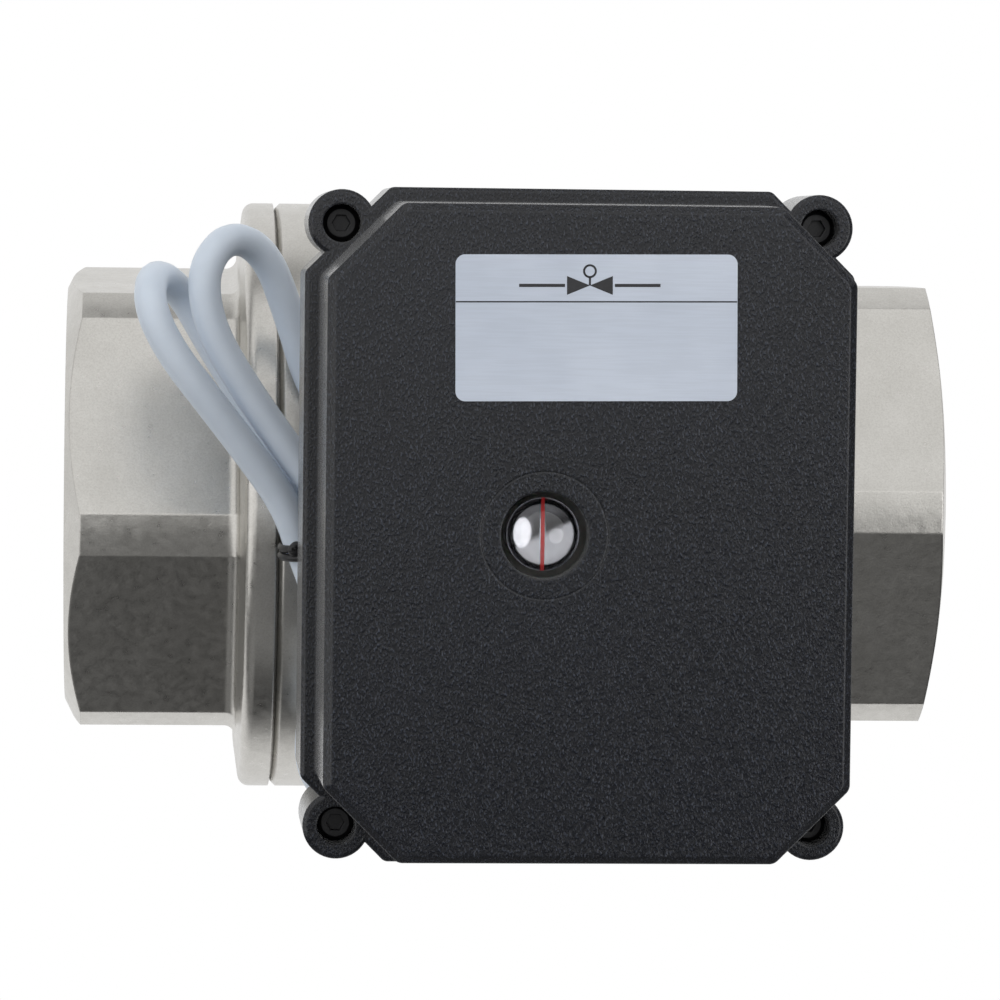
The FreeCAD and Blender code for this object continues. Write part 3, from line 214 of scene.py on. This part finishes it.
def plain(
    name,
    low,
    high,
    rough=(0.4, 0.5),
    grain=0.4,
    depth=0.02,
    metallic=0.0,
    stretch=(1, 1, 1),
    **sockets,
):
    """A moulded, rolled or turned surface: fine grain in colour and relief, uneven gloss."""
    nodes = Nodes(name, metallic, **sockets)
    place = nodes.mapped(stretch)
    fine = nodes.noise(grain * MM, 3.0, 0.6, place=place)
    wide = nodes.noise(6 * MM, 3.0, 0.6, place=place)
    fine_share = nodes.maths("MULTIPLY", fine, 0.6)
    wide_share = nodes.maths("MULTIPLY", wide, 0.4)
    nodes.colour(nodes.ramp(nodes.maths("ADD", fine_share, wide_share), (0.3, low), (0.7, high)))
    nodes.rough(nodes.spread(wide, *rough))
    nodes.bump((fine, depth * MM, 0.6), edge=0.2 * MM)
    return nodes.material


def cast_stainless():
    """Bead-blasted investment casting: even fine dimples over a slightly wavy skin."""
    nodes = Nodes("cast_stainless", 1.0)
    blast = nodes.noise(0.30 * MM, 2.0, 0.7)
    skin = nodes.noise(1.6 * MM, 3.0, 0.55)
    wave = nodes.noise(9 * MM, 3.0, 0.5)
    tone = nodes.ramp(wave, (0.3, (0.575, 0.562, 0.53)), (0.7, (0.635, 0.622, 0.59)))
    fleck = nodes.ramp(blast, (0.30, (0.72, 0.71, 0.70)), (0.62, (1.0, 1.0, 1.0)))
    nodes.colour(nodes.blend(0.5, tone, fleck, "MULTIPLY"))
    nodes.rough(nodes.spread(skin, 0.27, 0.36))
    nodes.bump(
        (wave, 0.20 * MM, 0.25),
        (skin, 0.06 * MM, 0.40),
        (blast, 0.028 * MM, 0.5),
        edge=0.45 * MM,
    )
    return nodes.material


def spark_plastic():
    """Black glass-filled nylon: spark-eroded texture, pale fibre flecks near the skin, and pale
    spots painted on the grain as glints.
    """
    nodes = Nodes("spark_plastic", 0.0, specular_ior_level=0.5, sheen_weight=0.17)
    grain = nodes.noise(0.29 * MM, 2.0, 0.6, place=nodes.mapped((1.0, 0.55, 0.8), (0.0, 0.0, 0.9)))
    coarse = nodes.noise(0.7 * MM, 2.0, 0.6)
    flow = nodes.noise(22 * MM, 3.0, 0.5)
    base = nodes.ramp(flow, (0.3, (0.0003, 0.0010, 0.0036)), (0.7, (0.0008, 0.0018, 0.0052)))
    # painted glints: pale spots on the grain, standing in for the glints off the spark-eroded
    # texture
    painted_glints = nodes.ramp(grain, (0.54, (0.0, 0.0, 0.0)), (0.73, (0.038, 0.044, 0.058)))
    colour = nodes.blend(1.0, base, painted_glints, "ADD")
    for number in range(3):
        place = nodes.mapped((1.0, 0.16, 0.5), (0.0, 0.0, number * math.pi / 3 + 0.4))
        fibre = nodes.noise(0.14 * MM, 1.0, 0.5, place=place)
        fleck = nodes.ramp(fibre, (0.70, (0.0, 0.0, 0.0)), (0.82, (0.03, 0.03, 0.034)))
        colour = nodes.blend(1.0, colour, fleck, "ADD")
    nodes.colour(colour)
    nodes.rough(nodes.spread(coarse, 0.12, 0.24))
    nodes.bump((coarse, 0.015 * MM, 0.35), (grain, 0.050 * MM, 0.80), edge=0.4 * MM)
    return nodes.material


def label_film():
    """Satin silver film, faintly brushed along its length."""
    nodes = Nodes("label_film", 0.25)
    brush = nodes.noise(0.25 * MM, 2.0, 0.5, place=nodes.mapped((0.04, 1.0, 1.0)))
    cloud = nodes.noise(14 * MM, 2.0, 0.5)
    tone = nodes.ramp(cloud, (0.3, (0.52, 0.57, 0.66)), (0.7, (0.58, 0.63, 0.72)))
    lines = nodes.ramp(brush, (0.4, (0.6, 0.6, 0.6)), (0.6, (1, 1, 1)))
    nodes.colour(nodes.blend(0.12, tone, lines, "MULTIPLY"))
    nodes.rough(nodes.spread(brush, 0.38, 0.50))
    nodes.bump((brush, 0.004 * MM, 0.4))
    return nodes.material


def cable_sheath():
    """Pale blue-grey PVC with a soft gloss and faint drag marks along the lay."""
    nodes = Nodes("cable_sheath", 0.0, subsurface_weight=0.08)
    nodes.shader.inputs["Subsurface Radius"].default_value = (0.6 * MM, 0.7 * MM, 0.8 * MM)
    cloud = nodes.noise(5 * MM, 3.0, 0.5)
    fine = nodes.noise(0.5 * MM, 2.0, 0.5)
    nodes.colour(nodes.ramp(cloud, (0.3, (0.66, 0.735, 0.83)), (0.7, (0.70, 0.775, 0.87))))
    nodes.rough(nodes.spread(cloud, 0.36, 0.46))
    nodes.bump((cloud, 0.10 * MM, 0.3), (fine, 0.012 * MM, 0.4))
    return nodes.material


def clear_lens():
    """Clear moulded acrylic."""
    nodes = Nodes("clear_lens", 0.0, transmission_weight=1.0, ior=1.49)
    haze = nodes.noise(2.5 * MM, 2.0, 0.5)
    nodes.colour(nodes.ramp(haze, (0.3, (0.96, 0.97, 0.98)), (0.7, (0.99, 0.99, 0.99))))
    nodes.rough(nodes.spread(haze, 0.0, 0.02))
    nodes.bump((haze, 0.01 * MM, 0.15))
    return nodes.material


GREY_STEEL = dict(metallic=1.0, grain=0.3, depth=0.01)
TURNED_STEEL = dict(stretch=(0.2, 0.2, 4), **GREY_STEEL)
MIRROR = dict(metallic=1.0, grain=1.5, depth=0.004)
SILVERED = dict(metallic=1.0, grain=1.2, depth=0.01)
SINTERED = dict(metallic=1.0, grain=0.25, depth=0.03)
YELLOW_METAL = dict(metallic=1.0, grain=0.3, depth=0.01)
BLACK_OXIDE = dict(metallic=0.4, grain=0.25, depth=0.02)
MOULDED = dict(grain=0.5, depth=0.02)
WAXY = dict(subsurface_weight=0.1, **MOULDED)
MILKY = dict(subsurface_weight=0.08, **MOULDED)
LACQUERED = dict(grain=1.2, depth=0.03)

# name: darkest and lightest colour, range of roughness, kind of surface
PLAIN_FINISHES = {
    "polished_stainless": ((0.66, 0.66, 0.65), (0.74, 0.74, 0.73), (0.05, 0.12), MIRROR),
    "machined_stainless": ((0.52, 0.52, 0.51), (0.64, 0.64, 0.63), (0.22, 0.34), TURNED_STEEL),
    "zinc_plate": ((0.50, 0.51, 0.53), (0.62, 0.63, 0.64), (0.25, 0.38), GREY_STEEL),
    "zinc_screw": ((0.55, 0.56, 0.58), (0.68, 0.69, 0.70), (0.2, 0.3), GREY_STEEL),
    "gear_steel": ((0.36, 0.36, 0.36), (0.48, 0.48, 0.47), (0.28, 0.42), GREY_STEEL),
    "spring_steel": ((0.52, 0.52, 0.52), (0.60, 0.60, 0.60), (0.18, 0.3), GREY_STEEL),
    "bronze": ((0.42, 0.27, 0.12), (0.52, 0.36, 0.17), (0.35, 0.5), SINTERED),
    "brass": ((0.62, 0.44, 0.17), (0.72, 0.53, 0.22), (0.2, 0.32), YELLOW_METAL),
    "black_screw": ((0.010, 0.010, 0.011), (0.026, 0.026, 0.028), (0.28, 0.42), BLACK_OXIDE),
    "black_rubber": ((0.010, 0.010, 0.010), (0.020, 0.020, 0.020), (0.6, 0.75), MOULDED),
    "black_plastic": ((0.012, 0.012, 0.013), (0.022, 0.022, 0.024), (0.35, 0.5), MOULDED),
    "ptfe": ((0.74, 0.74, 0.71), (0.82, 0.82, 0.79), (0.4, 0.5), WAXY),
    "acetal": ((0.72, 0.70, 0.65), (0.80, 0.78, 0.72), (0.32, 0.42), MILKY),
    "red_acetal": ((0.56, 0.006, 0.008), (0.68, 0.010, 0.012), (0.45, 0.6), MOULDED),
    "green_board": ((0.010, 0.09, 0.03), (0.018, 0.13, 0.045), (0.2, 0.3), LACQUERED),
    "terminal_plastic": ((0.03, 0.20, 0.05), (0.04, 0.26, 0.07), (0.35, 0.45), MOULDED),
    "component_plastic": ((0.02, 0.05, 0.16), (0.03, 0.07, 0.21), (0.25, 0.35), MOULDED),
    "indicator_silver": ((0.34, 0.34, 0.36), (0.44, 0.44, 0.47), (0.10, 0.16), SILVERED),
    "tie_black": ((0.010, 0.010, 0.011), (0.020, 0.020, 0.022), (0.35, 0.5), MOULDED),
    "wire_insulation": ((0.42, 0.02, 0.015), (0.55, 0.03, 0.02), (0.3, 0.4), MOULDED),
    "label_ink": ((0.012, 0.012, 0.014), (0.020, 0.020, 0.024), (0.4, 0.5), MOULDED),
    "tinned_copper": ((0.62, 0.55, 0.48), (0.74, 0.68, 0.60), (0.25, 0.35), GREY_STEEL),
}
FINISHES = {
    "cast_stainless": cast_stainless(),
    "black_housing": spark_plastic(),
    "label_film": label_film(),
    "cable_pvc": cable_sheath(),
    "clear_lens": clear_lens(),
}
for finish_name, (low, high, rough, surface) in PLAIN_FINISHES.items():
    FINISHES[finish_name] = plain(finish_name, low, high, rough, **surface)


def finish_with(obj, finish):
    """Give an object one of the finishes above."""
    obj.data.materials.clear()
    obj.data.materials.append(FINISHES[finish])


def dress_frame():
    """Each CAD node takes the finish named by its material slot in the record."""
    for part in frame["record"]["subparts"]:
        node = frame["nodes"][part["node"]]
        finish_with(node, part["material_slot"])


# ------------------------------------------------------------------ lead

CABLE_RADIUS = 2.5 * MM
CABLE_ROUTE = [
    (-27.0, 12.0, 58.0),
    (-27.0, 12.0, 50.4),
    (-32.0, 19.5, 47.2),
    (-35.0, 29.5, 46.6),
    (-39.0, 40.2, 47.8),
    (-44.9, 42.9, 52.2),
    (-49.1, 37.5, 56.5),
    (-48.0, 29.0, 57.4),
    (-43.5, 21.0, 57.6),
    (-36.5, 11.0, 57.6),
    (-29.8, 2.5, 57.5),
    (-27.8, -6.0, 57.3),
    (-21.7, -18.3, 54.9),
    (-11.3, -25.9, 56.8),
    (3.5, -31.7, 47.9),
    (5.1, -42.3, 36.2),
    (-5.2, -51.6, 29.0),
    (-20.2, -52.4, 29.1),
    (-31.2, -43.3, 34.7),
    (-31.1, -31.9, 45.3),
    (-28.4, -16.2, 50.4),
    (-33.3, -6.0, 51.9),
    (-33.7, 1.5, 52.1),
    (-37.5, 9.5, 51.6),
    (-42.5, 18.0, 49.6),
    (-47.6, 26.0, 46.6),
    (-52.3, 34.3, 45.6),
    (-56.6, 37.0, 52.4),
    (-57.2, 31.9, 59.3),
    (-53.8, 24.8, 60.2),
    (-47.6, 17.0, 60.0),
    (-41.2, 8.8, 59.2),
    (-35.9, 1.5, 58.2),
    (-33.2, -6.0, 57.3),
    (-29.6, -15.5, 57.4),
    (-26.5, -26.5, 56.8),
    (-19.5, -36.5, 55.0),
    (-9.5, -42.5, 52.0),
    (1.5, -44.0, 48.0),
    (11.0, -42.5, 44.0),
    (19.5, -40.5, 41.0),
]


SPLINE_STEPS = 10
ROUND_STEPS = 6


def smooth_line(name, points, radius, finish, closed=False):
    """A round line through space: a quadratic spline that the points pull on."""
    data = bpy.data.curves.new(name, "CURVE")
    data.dimensions = "3D"
    data.bevel_depth = radius
    data.bevel_resolution = ROUND_STEPS
    data.resolution_u = SPLINE_STEPS
    data.use_fill_caps = True
    spline = data.splines.new("NURBS")
    spline.points.add(len(points) - 1)
    for spot, point in zip(spline.points, points):
        spot.co = (*point, 1.0)
    spline.order_u = 3
    spline.use_endpoint_u = not closed
    spline.use_cyclic_u = closed
    obj = bpy.data.objects.new(name, data)
    bpy.context.collection.objects.link(obj)
    finish_with(obj, finish)
    return obj


WIRE_COLOURS = {
    "red_wire": ((0.42, 0.015, 0.012), (0.55, 0.03, 0.02)),
    "black_wire": ((0.012, 0.012, 0.012), (0.02, 0.02, 0.02)),
    "white_wire": ((0.68, 0.68, 0.66), (0.78, 0.78, 0.76)),
    "blue_wire": ((0.02, 0.09, 0.40), (0.03, 0.13, 0.52)),
    "yellow_wire": ((0.62, 0.42, 0.02), (0.74, 0.52, 0.04)),
}
TIE_Y = -6.0
LEAD_LENGTH = 34.0 * MM
LEAD_RADIUS = 0.65 * MM
CORE_RADIUS = 0.32 * MM
STRIPPED = 5.0 * MM
CORES_AT = 1.55 * MM
STRAIGHT_SHARE, FAN_SHARE, END_SHARE = 0.3, 0.35, 0.33
FAN, FAN_STEP = 2.2, 0.5
STAGGER = 1.1 * MM
SPLAY = 0.6


def add_leads(end, way):
    """Five insulated cores fanning out of the sheath, each with a stripped and tinned end."""
    side = way.cross(Vector((0, 0, 1))).normalized()
    up = side.cross(way)
    leads = []
    for number, (name, (low, high)) in enumerate(WIRE_COLOURS.items()):
        FINISHES[name] = plain(name, low, high, (0.3, 0.4), **MOULDED)
        angle = 2 * math.pi * number / len(WIRE_COLOURS)
        outward = side * math.cos(angle) + up * math.sin(angle)
        root = end + outward * CORES_AT
        knee = root + way * (STRAIGHT_SHARE * LEAD_LENGTH)
        spread = knee + way * (FAN_SHARE * LEAD_LENGTH) + outward * (FAN + FAN_STEP * number) * MM
        tip = spread + way * (END_SHARE * LEAD_LENGTH - STAGGER * number) + outward * SPLAY * MM
        heading = (tip - spread).normalized()
        shoulder = tip - heading * STRIPPED
        wire = smooth_line(name, [root - way * MM, knee, spread, shoulder], LEAD_RADIUS, name)
        bared = [shoulder - heading * MM, shoulder, tip]
        core = smooth_line(name + "_core", bared, CORE_RADIUS, "tinned_copper")
        leads += [wire, core]
    for lead in leads:
        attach(lead, FIXED)
    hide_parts("lead_wires")
    return leads


CORNER_STEPS = 8


def hull_loop(centres, reach):
    """Points round the outside of circles, in the plane that holds their centres."""
    middle = sum(centres, Vector()) / len(centres)
    ordered = sorted(centres, key=lambda c: math.atan2(c.z - middle.z, c.x - middle.x))
    loop = []
    for index, centre in enumerate(ordered):
        before = ordered[index - 1]
        after = ordered[(index + 1) % len(ordered)]
        start = math.atan2(centre.z - before.z, centre.x - before.x) - math.pi / 2
        stop = math.atan2(after.z - centre.z, after.x - centre.x) - math.pi / 2
        while stop < start:
            stop += 2 * math.pi
        for step in range(CORNER_STEPS + 1):
            angle = start + (stop - start) * step / CORNER_STEPS
            loop.append(centre + Vector((math.cos(angle), 0, math.sin(angle))) * reach)
    return loop


TIE_WIRE = 0.6 * MM
TIE_TWIST_WIRE = 0.7 * MM
TIE_TURNS_AT = (-0.65, 0.65)
KNOT_OFFSET = (-0.8, 0.6, 2.7)
KNOT_POINTS = 19
KNOT_TWIST = 0.75
KNOT_SWELL = 0.75
KNOT_STEP = 0.085 * MM
KNOT_SLOPE = -0.8


def add_tie():
    """A black covered wire wound twice round the lead's runs, its ends twisted into a knot."""
    centres = [mm(x, y, z) for x, y, z in CABLE_ROUTE if y == TIE_Y]
    turns = []
    for index, offset in enumerate(TIE_TURNS_AT):
        loop = [spot + mm(0, offset, 0) for spot in hull_loop(centres, CABLE_RADIUS + TIE_WIRE)]
        turns.append(smooth_line(f"tie_turn_{index + 1}", loop, TIE_WIRE, "tie_black", closed=True))
    knot_at = min(centres, key=lambda c: c.x - c.z) + mm(*KNOT_OFFSET)
    for index in range(2):
        strand = []
        for step in range(KNOT_POINTS):
            angle = math.pi * index + step * KNOT_TWIST
            swell = KNOT_SWELL * math.sin(math.pi * (step + 1) / (KNOT_POINTS + 1)) * MM
            along = (step - KNOT_POINTS // 2) * KNOT_STEP
            across, aside = swell * math.cos(angle), swell * math.sin(angle)
            strand.append(knot_at + Vector((along + across, aside, KNOT_SLOPE * along)))
        name = f"tie_twist_{index + 1}"
        turns.append(smooth_line(name, strand, TIE_TWIST_WIRE, "tie_black"))
    for turn in turns:
        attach(turn, FIXED)
    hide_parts("cable_tie")
    return turns


def add_lead():
    """The tied lead: sheath, cores and tie."""
    route = [mm(*point) for point in CABLE_ROUTE]
    sheath = smooth_line("cable_sheath", route, CABLE_RADIUS, "cable_pvc")
    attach(sheath, FIXED)
    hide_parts("cable")
    leads = add_leads(route[-1], (route[-1] - route[-2]).normalized())
    tie = add_tie()


# ------------------------------------------------------------------ pipe threads

THREAD_RADIUS = 29.8 * MM
CREST_RADIUS = 28.4 * MM
PITCH = 2.309 * MM
THREAD_RUN = 21.0 * MM
STEPS_PER_TURN = 72
THREAD_START = 1.6 * MM
FADE_IN, FADE_OUT = 0.8, 1.6


def mesh_piece(name, vertices, faces, finish, smooth=True):
    """A finished object from vertices and faces, its normals turned outwards."""
    mesh = bpy.data.meshes.new(name)
    mesh.from_pydata([tuple(v) for v in vertices], [], faces)
    mesh.update()
    work = bmesh.new()
    work.from_mesh(mesh)
    bmesh.ops.recalc_face_normals(work, faces=work.faces)
    work.to_mesh(mesh)
    work.free()
    obj = bpy.data.objects.new(name, mesh)
    bpy.context.collection.objects.link(obj)
    if smooth:
        mesh.shade_smooth()
    finish_with(obj, finish)
    return obj


def add_thread(name, mouth, inward):
    """A right-handed helical ridge inside a pipe end, fading out at both ends."""
    turns = THREAD_RUN / PITCH
    count = int(turns * STEPS_PER_TURN)
    half_root, half_crest = 0.46 * PITCH, 0.08 * PITCH
    root_radius = THREAD_RADIUS + 0.05 * MM
    profile = [(-half_root, 0.0), (-half_crest, 1.0), (half_crest, 1.0), (half_root, 0.0)]
    rings = []
    for step in range(count + 1):
        angle = 2 * math.pi * step / STEPS_PER_TURN
        travel = PITCH * step / STEPS_PER_TURN
        rise = step / (FADE_IN * STEPS_PER_TURN)
        fall = (count - step) / (FADE_OUT * STEPS_PER_TURN)
        fade = min(1.0, rise, fall)
        ring = []
        for across, height in profile:
            x = mouth + inward * (travel + half_root) + across
            radius = root_radius - height * fade * (root_radius - CREST_RADIUS)
            y, z = radius * math.cos(inward * angle), radius * math.sin(inward * angle)
            ring.append(Vector((x, y, z)))
        rings.append(ring)
    size = len(profile)
    vertices = [spot for ring in rings for spot in ring]
    faces = []
    for step in range(count):
        for side in range(size):
            following = (side + 1) % size
            low = step * size
            faces.append((low + side, low + following, low + size + following, low + size + side))
    faces.append(tuple(range(size)))
    faces.append(tuple(reversed(range(count * size, count * size + size))))
    thread = mesh_piece(name, vertices, faces, "machined_stainless", smooth=False)
    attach(thread, FIXED)


# ------------------------------------------------------------------ indicator

DOME_RADIUS = 5.3 * MM
DOME_FOOT = 105.2 * MM
DOME_TOP = 108.1 * MM
DOME_SEAT = 104.04 * MM
DOME_EDGE_ANGLE = math.radians(35)
DOME_RINGS, DOME_STEPS = 28, 128
DRIVE = "ball_drive"


def add_indicator():
    """The pointer's clear dome, a hair above the silver disc and its red line."""
    rise = DOME_TOP - DOME_FOOT
    curve = (DOME_RADIUS**2 + rise**2) / (2 * rise)
    rings, around = DOME_RINGS, DOME_STEPS
    profile = []
    for ring in range(rings + 1):
        across = DOME_RADIUS * math.sin(0.5 * math.pi * (ring + 0.15) / (rings + 0.15))
        profile.append((across, DOME_TOP - curve + math.sqrt(curve**2 - across**2)))
    profile.append((DOME_RADIUS, DOME_SEAT + 0.15 * MM))
    profile.append((DOME_RADIUS - 0.12 * MM, DOME_SEAT))
    vertices, faces = [], []
    for across, height in profile:
        for step in range(around):
            angle = 2 * math.pi * step / around
            vertices.append(Vector((across * math.cos(angle), across * math.sin(angle), height)))
    for ring in range(len(profile) - 1):
        for step in range(around):
            ahead = (step + 1) % around
            low, high = ring * around, (ring + 1) * around
            faces.append((low + step, low + ahead, high + ahead, high + step))
    faces.append(tuple(range(around)))
    faces.append(tuple(reversed(range(len(vertices) - around, len(vertices)))))
    dome = mesh_piece("indicator_dome", vertices, faces, "clear_lens")
    dome.data.set_sharp_from_angle(angle=DOME_EDGE_ANGLE)
    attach(dome, DRIVE)
    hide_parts("indicator_lens")


# ------------------------------------------------------------------ label print

LABEL_CENTRE = mm(7.1, 30.0, 108.85)
LABEL_TURN = math.radians(0.6)
LABEL_LENGTH = 40.7
INK_THICK = 0.03 * MM
RULE_Y, RULE_WIDTH = 3.75, 0.2
SIGN_AT = (-1.0, 6.1)
SIGN_HALF, SIGN_TALL = 3.3, 1.35
DRUM_RADIUS, DRUM_STROKE, DRUM_RISE = 1.0, 0.3, 2.05
DRUM_SEGMENTS = 24
STEM_LENGTH, STEM_RISE = 1.1, 0.55
PIPE_LENGTH, PIPE_WIDTH, PIPE_GAP = 6.6, 0.45, 0.3


def ink(name, outlines):
    """Flat printed shapes on the label, from outlines in millimetres about its centre."""
    turn = Matrix.Rotation(LABEL_TURN, 4, "Z")
    vertices, faces = [], []
    for outline in outlines:
        first = len(vertices)
        count = len(outline)
        for lift in (0.0, INK_THICK):
            vertices += [LABEL_CENTRE + turn @ Vector((u * MM, v * MM, lift)) for u, v in outline]
        faces.append(tuple(range(first, first + count)))
        faces.append(tuple(range(first + count, first + 2 * count)))
        for n in range(count):
            m = (n + 1) % count
            faces.append((first + n, first + m, first + count + m, first + count + n))
    piece = mesh_piece(name, vertices, faces, "label_ink", smooth=False)
    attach(piece, FIXED)


def bar(x, y, length, width, turn=0.0):
    """A straight printed stroke."""
    ux, uy = math.cos(turn), math.sin(turn)
    half_long, half_wide = length / 2, width / 2
    corners = (
        (-half_long, -half_wide),
        (half_long, -half_wide),
        (half_long, half_wide),
        (-half_long, half_wide),
    )
    return [(x + ux * a - uy * b, y + uy * a + ux * b) for a, b in corners]


def add_label_print():
    """A ruled line, and above it the drawing-office sign for a motor-driven valve."""
    ink("label_rule", [bar(0, RULE_Y, LABEL_LENGTH - 0.1, RULE_WIDTH)])
    x, y = SIGN_AT
    half, tall = SIGN_HALF, SIGN_TALL
    left = [(x - half, y - tall), (x, y), (x - half, y + tall)]
    right = [(x + half, y + tall), (x, y), (x + half, y - tall)]
    stem = bar(x, y + STEM_RISE, STEM_LENGTH, DRUM_STROKE, math.pi / 2)
    rim = []
    for step in range(DRUM_SEGMENTS + 1):
        angle = 2 * math.pi * step / DRUM_SEGMENTS
        rim.append((math.cos(angle), math.sin(angle)))
    drum = []
    for (ax, ay), (bx, by) in zip(rim, rim[1:]):
        outer, inner = DRUM_RADIUS, DRUM_RADIUS - DRUM_STROKE
        corners = ((outer, ax, ay), (outer, bx, by), (inner, bx, by), (inner, ax, ay))
        drum.append([(x + r * u, y + DRUM_RISE + r * v) for r, u, v in corners])
    reach = half + PIPE_GAP + PIPE_LENGTH / 2
    pipes = [bar(x + side * reach, y, PIPE_LENGTH, PIPE_WIDTH) for side in (-1, 1)]
    ink("label_sign", [left, right, stem, *pipes, *drum])


# ------------------------------------------------------------------ stage


def seen_or_lit(tree, seen, lit, output):
    """What the camera sees plainly, and what everything else is lit by."""
    path = tree.nodes.new("ShaderNodeLightPath")
    mix = tree.nodes.new("ShaderNodeMixShader")
    tree.links.new(path.outputs["Is Camera Ray"], mix.inputs[0])
    tree.links.new(lit, mix.inputs[1])
    tree.links.new(seen, mix.inputs[2])
    tree.links.new(mix.outputs[0], output)


FLOOR_REACH = 6.0
GLOW_RADIUS, DARK_RADIUS = 0.18, 0.55
GLOW_NEAR, GLOW_FAR = 0.95, 0.03


def add_floor():
    """A white light table, plain to the camera and bright only round the valve."""
    low = CAD_BOX[0].z
    sides = ((-1, -1), (1, -1), (1, 1), (-1, 1))
    corners = [(FLOOR_REACH * x, FLOOR_REACH * y, low) for x, y in sides]
    mesh = bpy.data.meshes.new("floor")
    mesh.from_pydata(corners, [], [(0, 1, 2, 3)])
    floor = bpy.data.objects.new("floor", mesh)
    bpy.context.collection.objects.link(floor)
    material = bpy.data.materials.new("floor_card")
    material.use_nodes = True
    tree = material.node_tree
    tree.nodes.remove(tree.nodes["Principled BSDF"])
    place = tree.nodes.new("ShaderNodeTexCoord")
    spot = tree.nodes.new("ShaderNodeVectorMath")
    spot.operation = "LENGTH"
    tree.links.new(place.outputs["Object"], spot.inputs[0])
    fall = tree.nodes.new("ShaderNodeMapRange")
    fall.interpolation_type = "SMOOTHSTEP"
    fall.inputs["From Min"].default_value = GLOW_RADIUS
    fall.inputs["From Max"].default_value = DARK_RADIUS
    fall.inputs["To Min"].default_value = GLOW_NEAR
    fall.inputs["To Max"].default_value = GLOW_FAR
    tree.links.new(spot.outputs["Value"], fall.inputs["Value"])
    lit, seen = (tree.nodes.new("ShaderNodeEmission") for _ in range(2))
    tree.links.new(fall.outputs["Result"], lit.inputs["Strength"])
    surface = tree.nodes["Material Output"].inputs["Surface"]
    seen_or_lit(tree, seen.outputs[0], lit.outputs[0], surface)
    floor.data.materials.append(material)


LIGHT_COMES_FROM = (-0.42, 0.90, 0.05)
# brightness by direction: from 0, facing away from the light, to 1, facing it
ROOM = (
    (0.0, 0.0),
    (0.055, 0.0),
    (0.12, 0.24),
    (0.25, 0.22),
    (0.462, 0.04),
    (0.522, 1.0),
    (0.7, 1.05),
    (0.84, 0.84),
    (1.0, 0.88),
)
ROOM_STRENGTH = 1.15
WINDOW_AT = (0.60, -0.08, 0.796)
WINDOW_EDGE = (0.935, 0.945)
WINDOW_LEVEL = 2.2


def add_room():
    """A white tent lit from behind and the left, falling away to a dark front."""
    world = bpy.data.worlds.new("room")
    world.use_nodes = True
    tree = world.node_tree
    lit = tree.nodes["Background"]
    way = tree.nodes.new("ShaderNodeTexCoord")
    along = tree.nodes.new("ShaderNodeVectorMath")
    along.operation = "DOT_PRODUCT"
    along.inputs[1].default_value = LIGHT_COMES_FROM
    tree.links.new(way.outputs["Generated"], along.inputs[0])
    share = tree.nodes.new("ShaderNodeMapRange")
    share.inputs["From Min"].default_value = -1.0
    tree.links.new(along.outputs["Value"], share.inputs["Value"])
    ramp = tree.nodes.new("ShaderNodeValToRGB")
    band = ramp.color_ramp
    band.interpolation = "EASE"
    while len(band.elements) < len(ROOM):
        band.elements.new(0.5)
    for element, (position, level) in zip(band.elements, ROOM):
        element.position = position
        element.color = (level, level, level, 1.0)
    tree.links.new(share.outputs["Result"], ramp.inputs["Fac"])
    window = tree.nodes.new("ShaderNodeVectorMath")
    window.operation = "DOT_PRODUCT"
    window.inputs[1].default_value = WINDOW_AT
    tree.links.new(way.outputs["Generated"], window.inputs[0])
    pane = tree.nodes.new("ShaderNodeMapRange")
    pane.interpolation_type = "SMOOTHSTEP"
    pane.inputs["From Min"].default_value = WINDOW_EDGE[0]
    pane.inputs["From Max"].default_value = WINDOW_EDGE[1]
    pane.inputs["To Max"].default_value = WINDOW_LEVEL
    tree.links.new(window.outputs["Value"], pane.inputs["Value"])
    both = tree.nodes.new("ShaderNodeMix")
    both.data_type = "RGBA"
    both.blend_type = "LIGHTEN"
    both.inputs["Factor"].default_value = 1.0
    colours = {socket.name: socket for socket in both.inputs if socket.enabled}
    tree.links.new(ramp.outputs["Color"], colours["A"])
    tree.links.new(pane.outputs["Result"], colours["B"])
    tree.links.new([s for s in both.outputs if s.enabled][0], lit.inputs["Color"])
    lit.inputs["Strength"].default_value = ROOM_STRENGTH
    seen = tree.nodes.new("ShaderNodeBackground")
    seen.inputs["Color"].default_value = (1.0, 1.0, 1.0, 1.0)
    surface = tree.nodes["World Output"].inputs["Surface"]
    seen_or_lit(tree, seen.outputs[0], lit.outputs[0], surface)
    bpy.context.scene.world = world


add_floor()
add_room()

dress_frame()
add_lead()
add_thread("inlet_thread", CAD_BOX[0].x + THREAD_START, 1)
add_thread("outlet_thread", CAD_BOX[1].x - THREAD_START, -1)
add_indicator()
add_label_print()
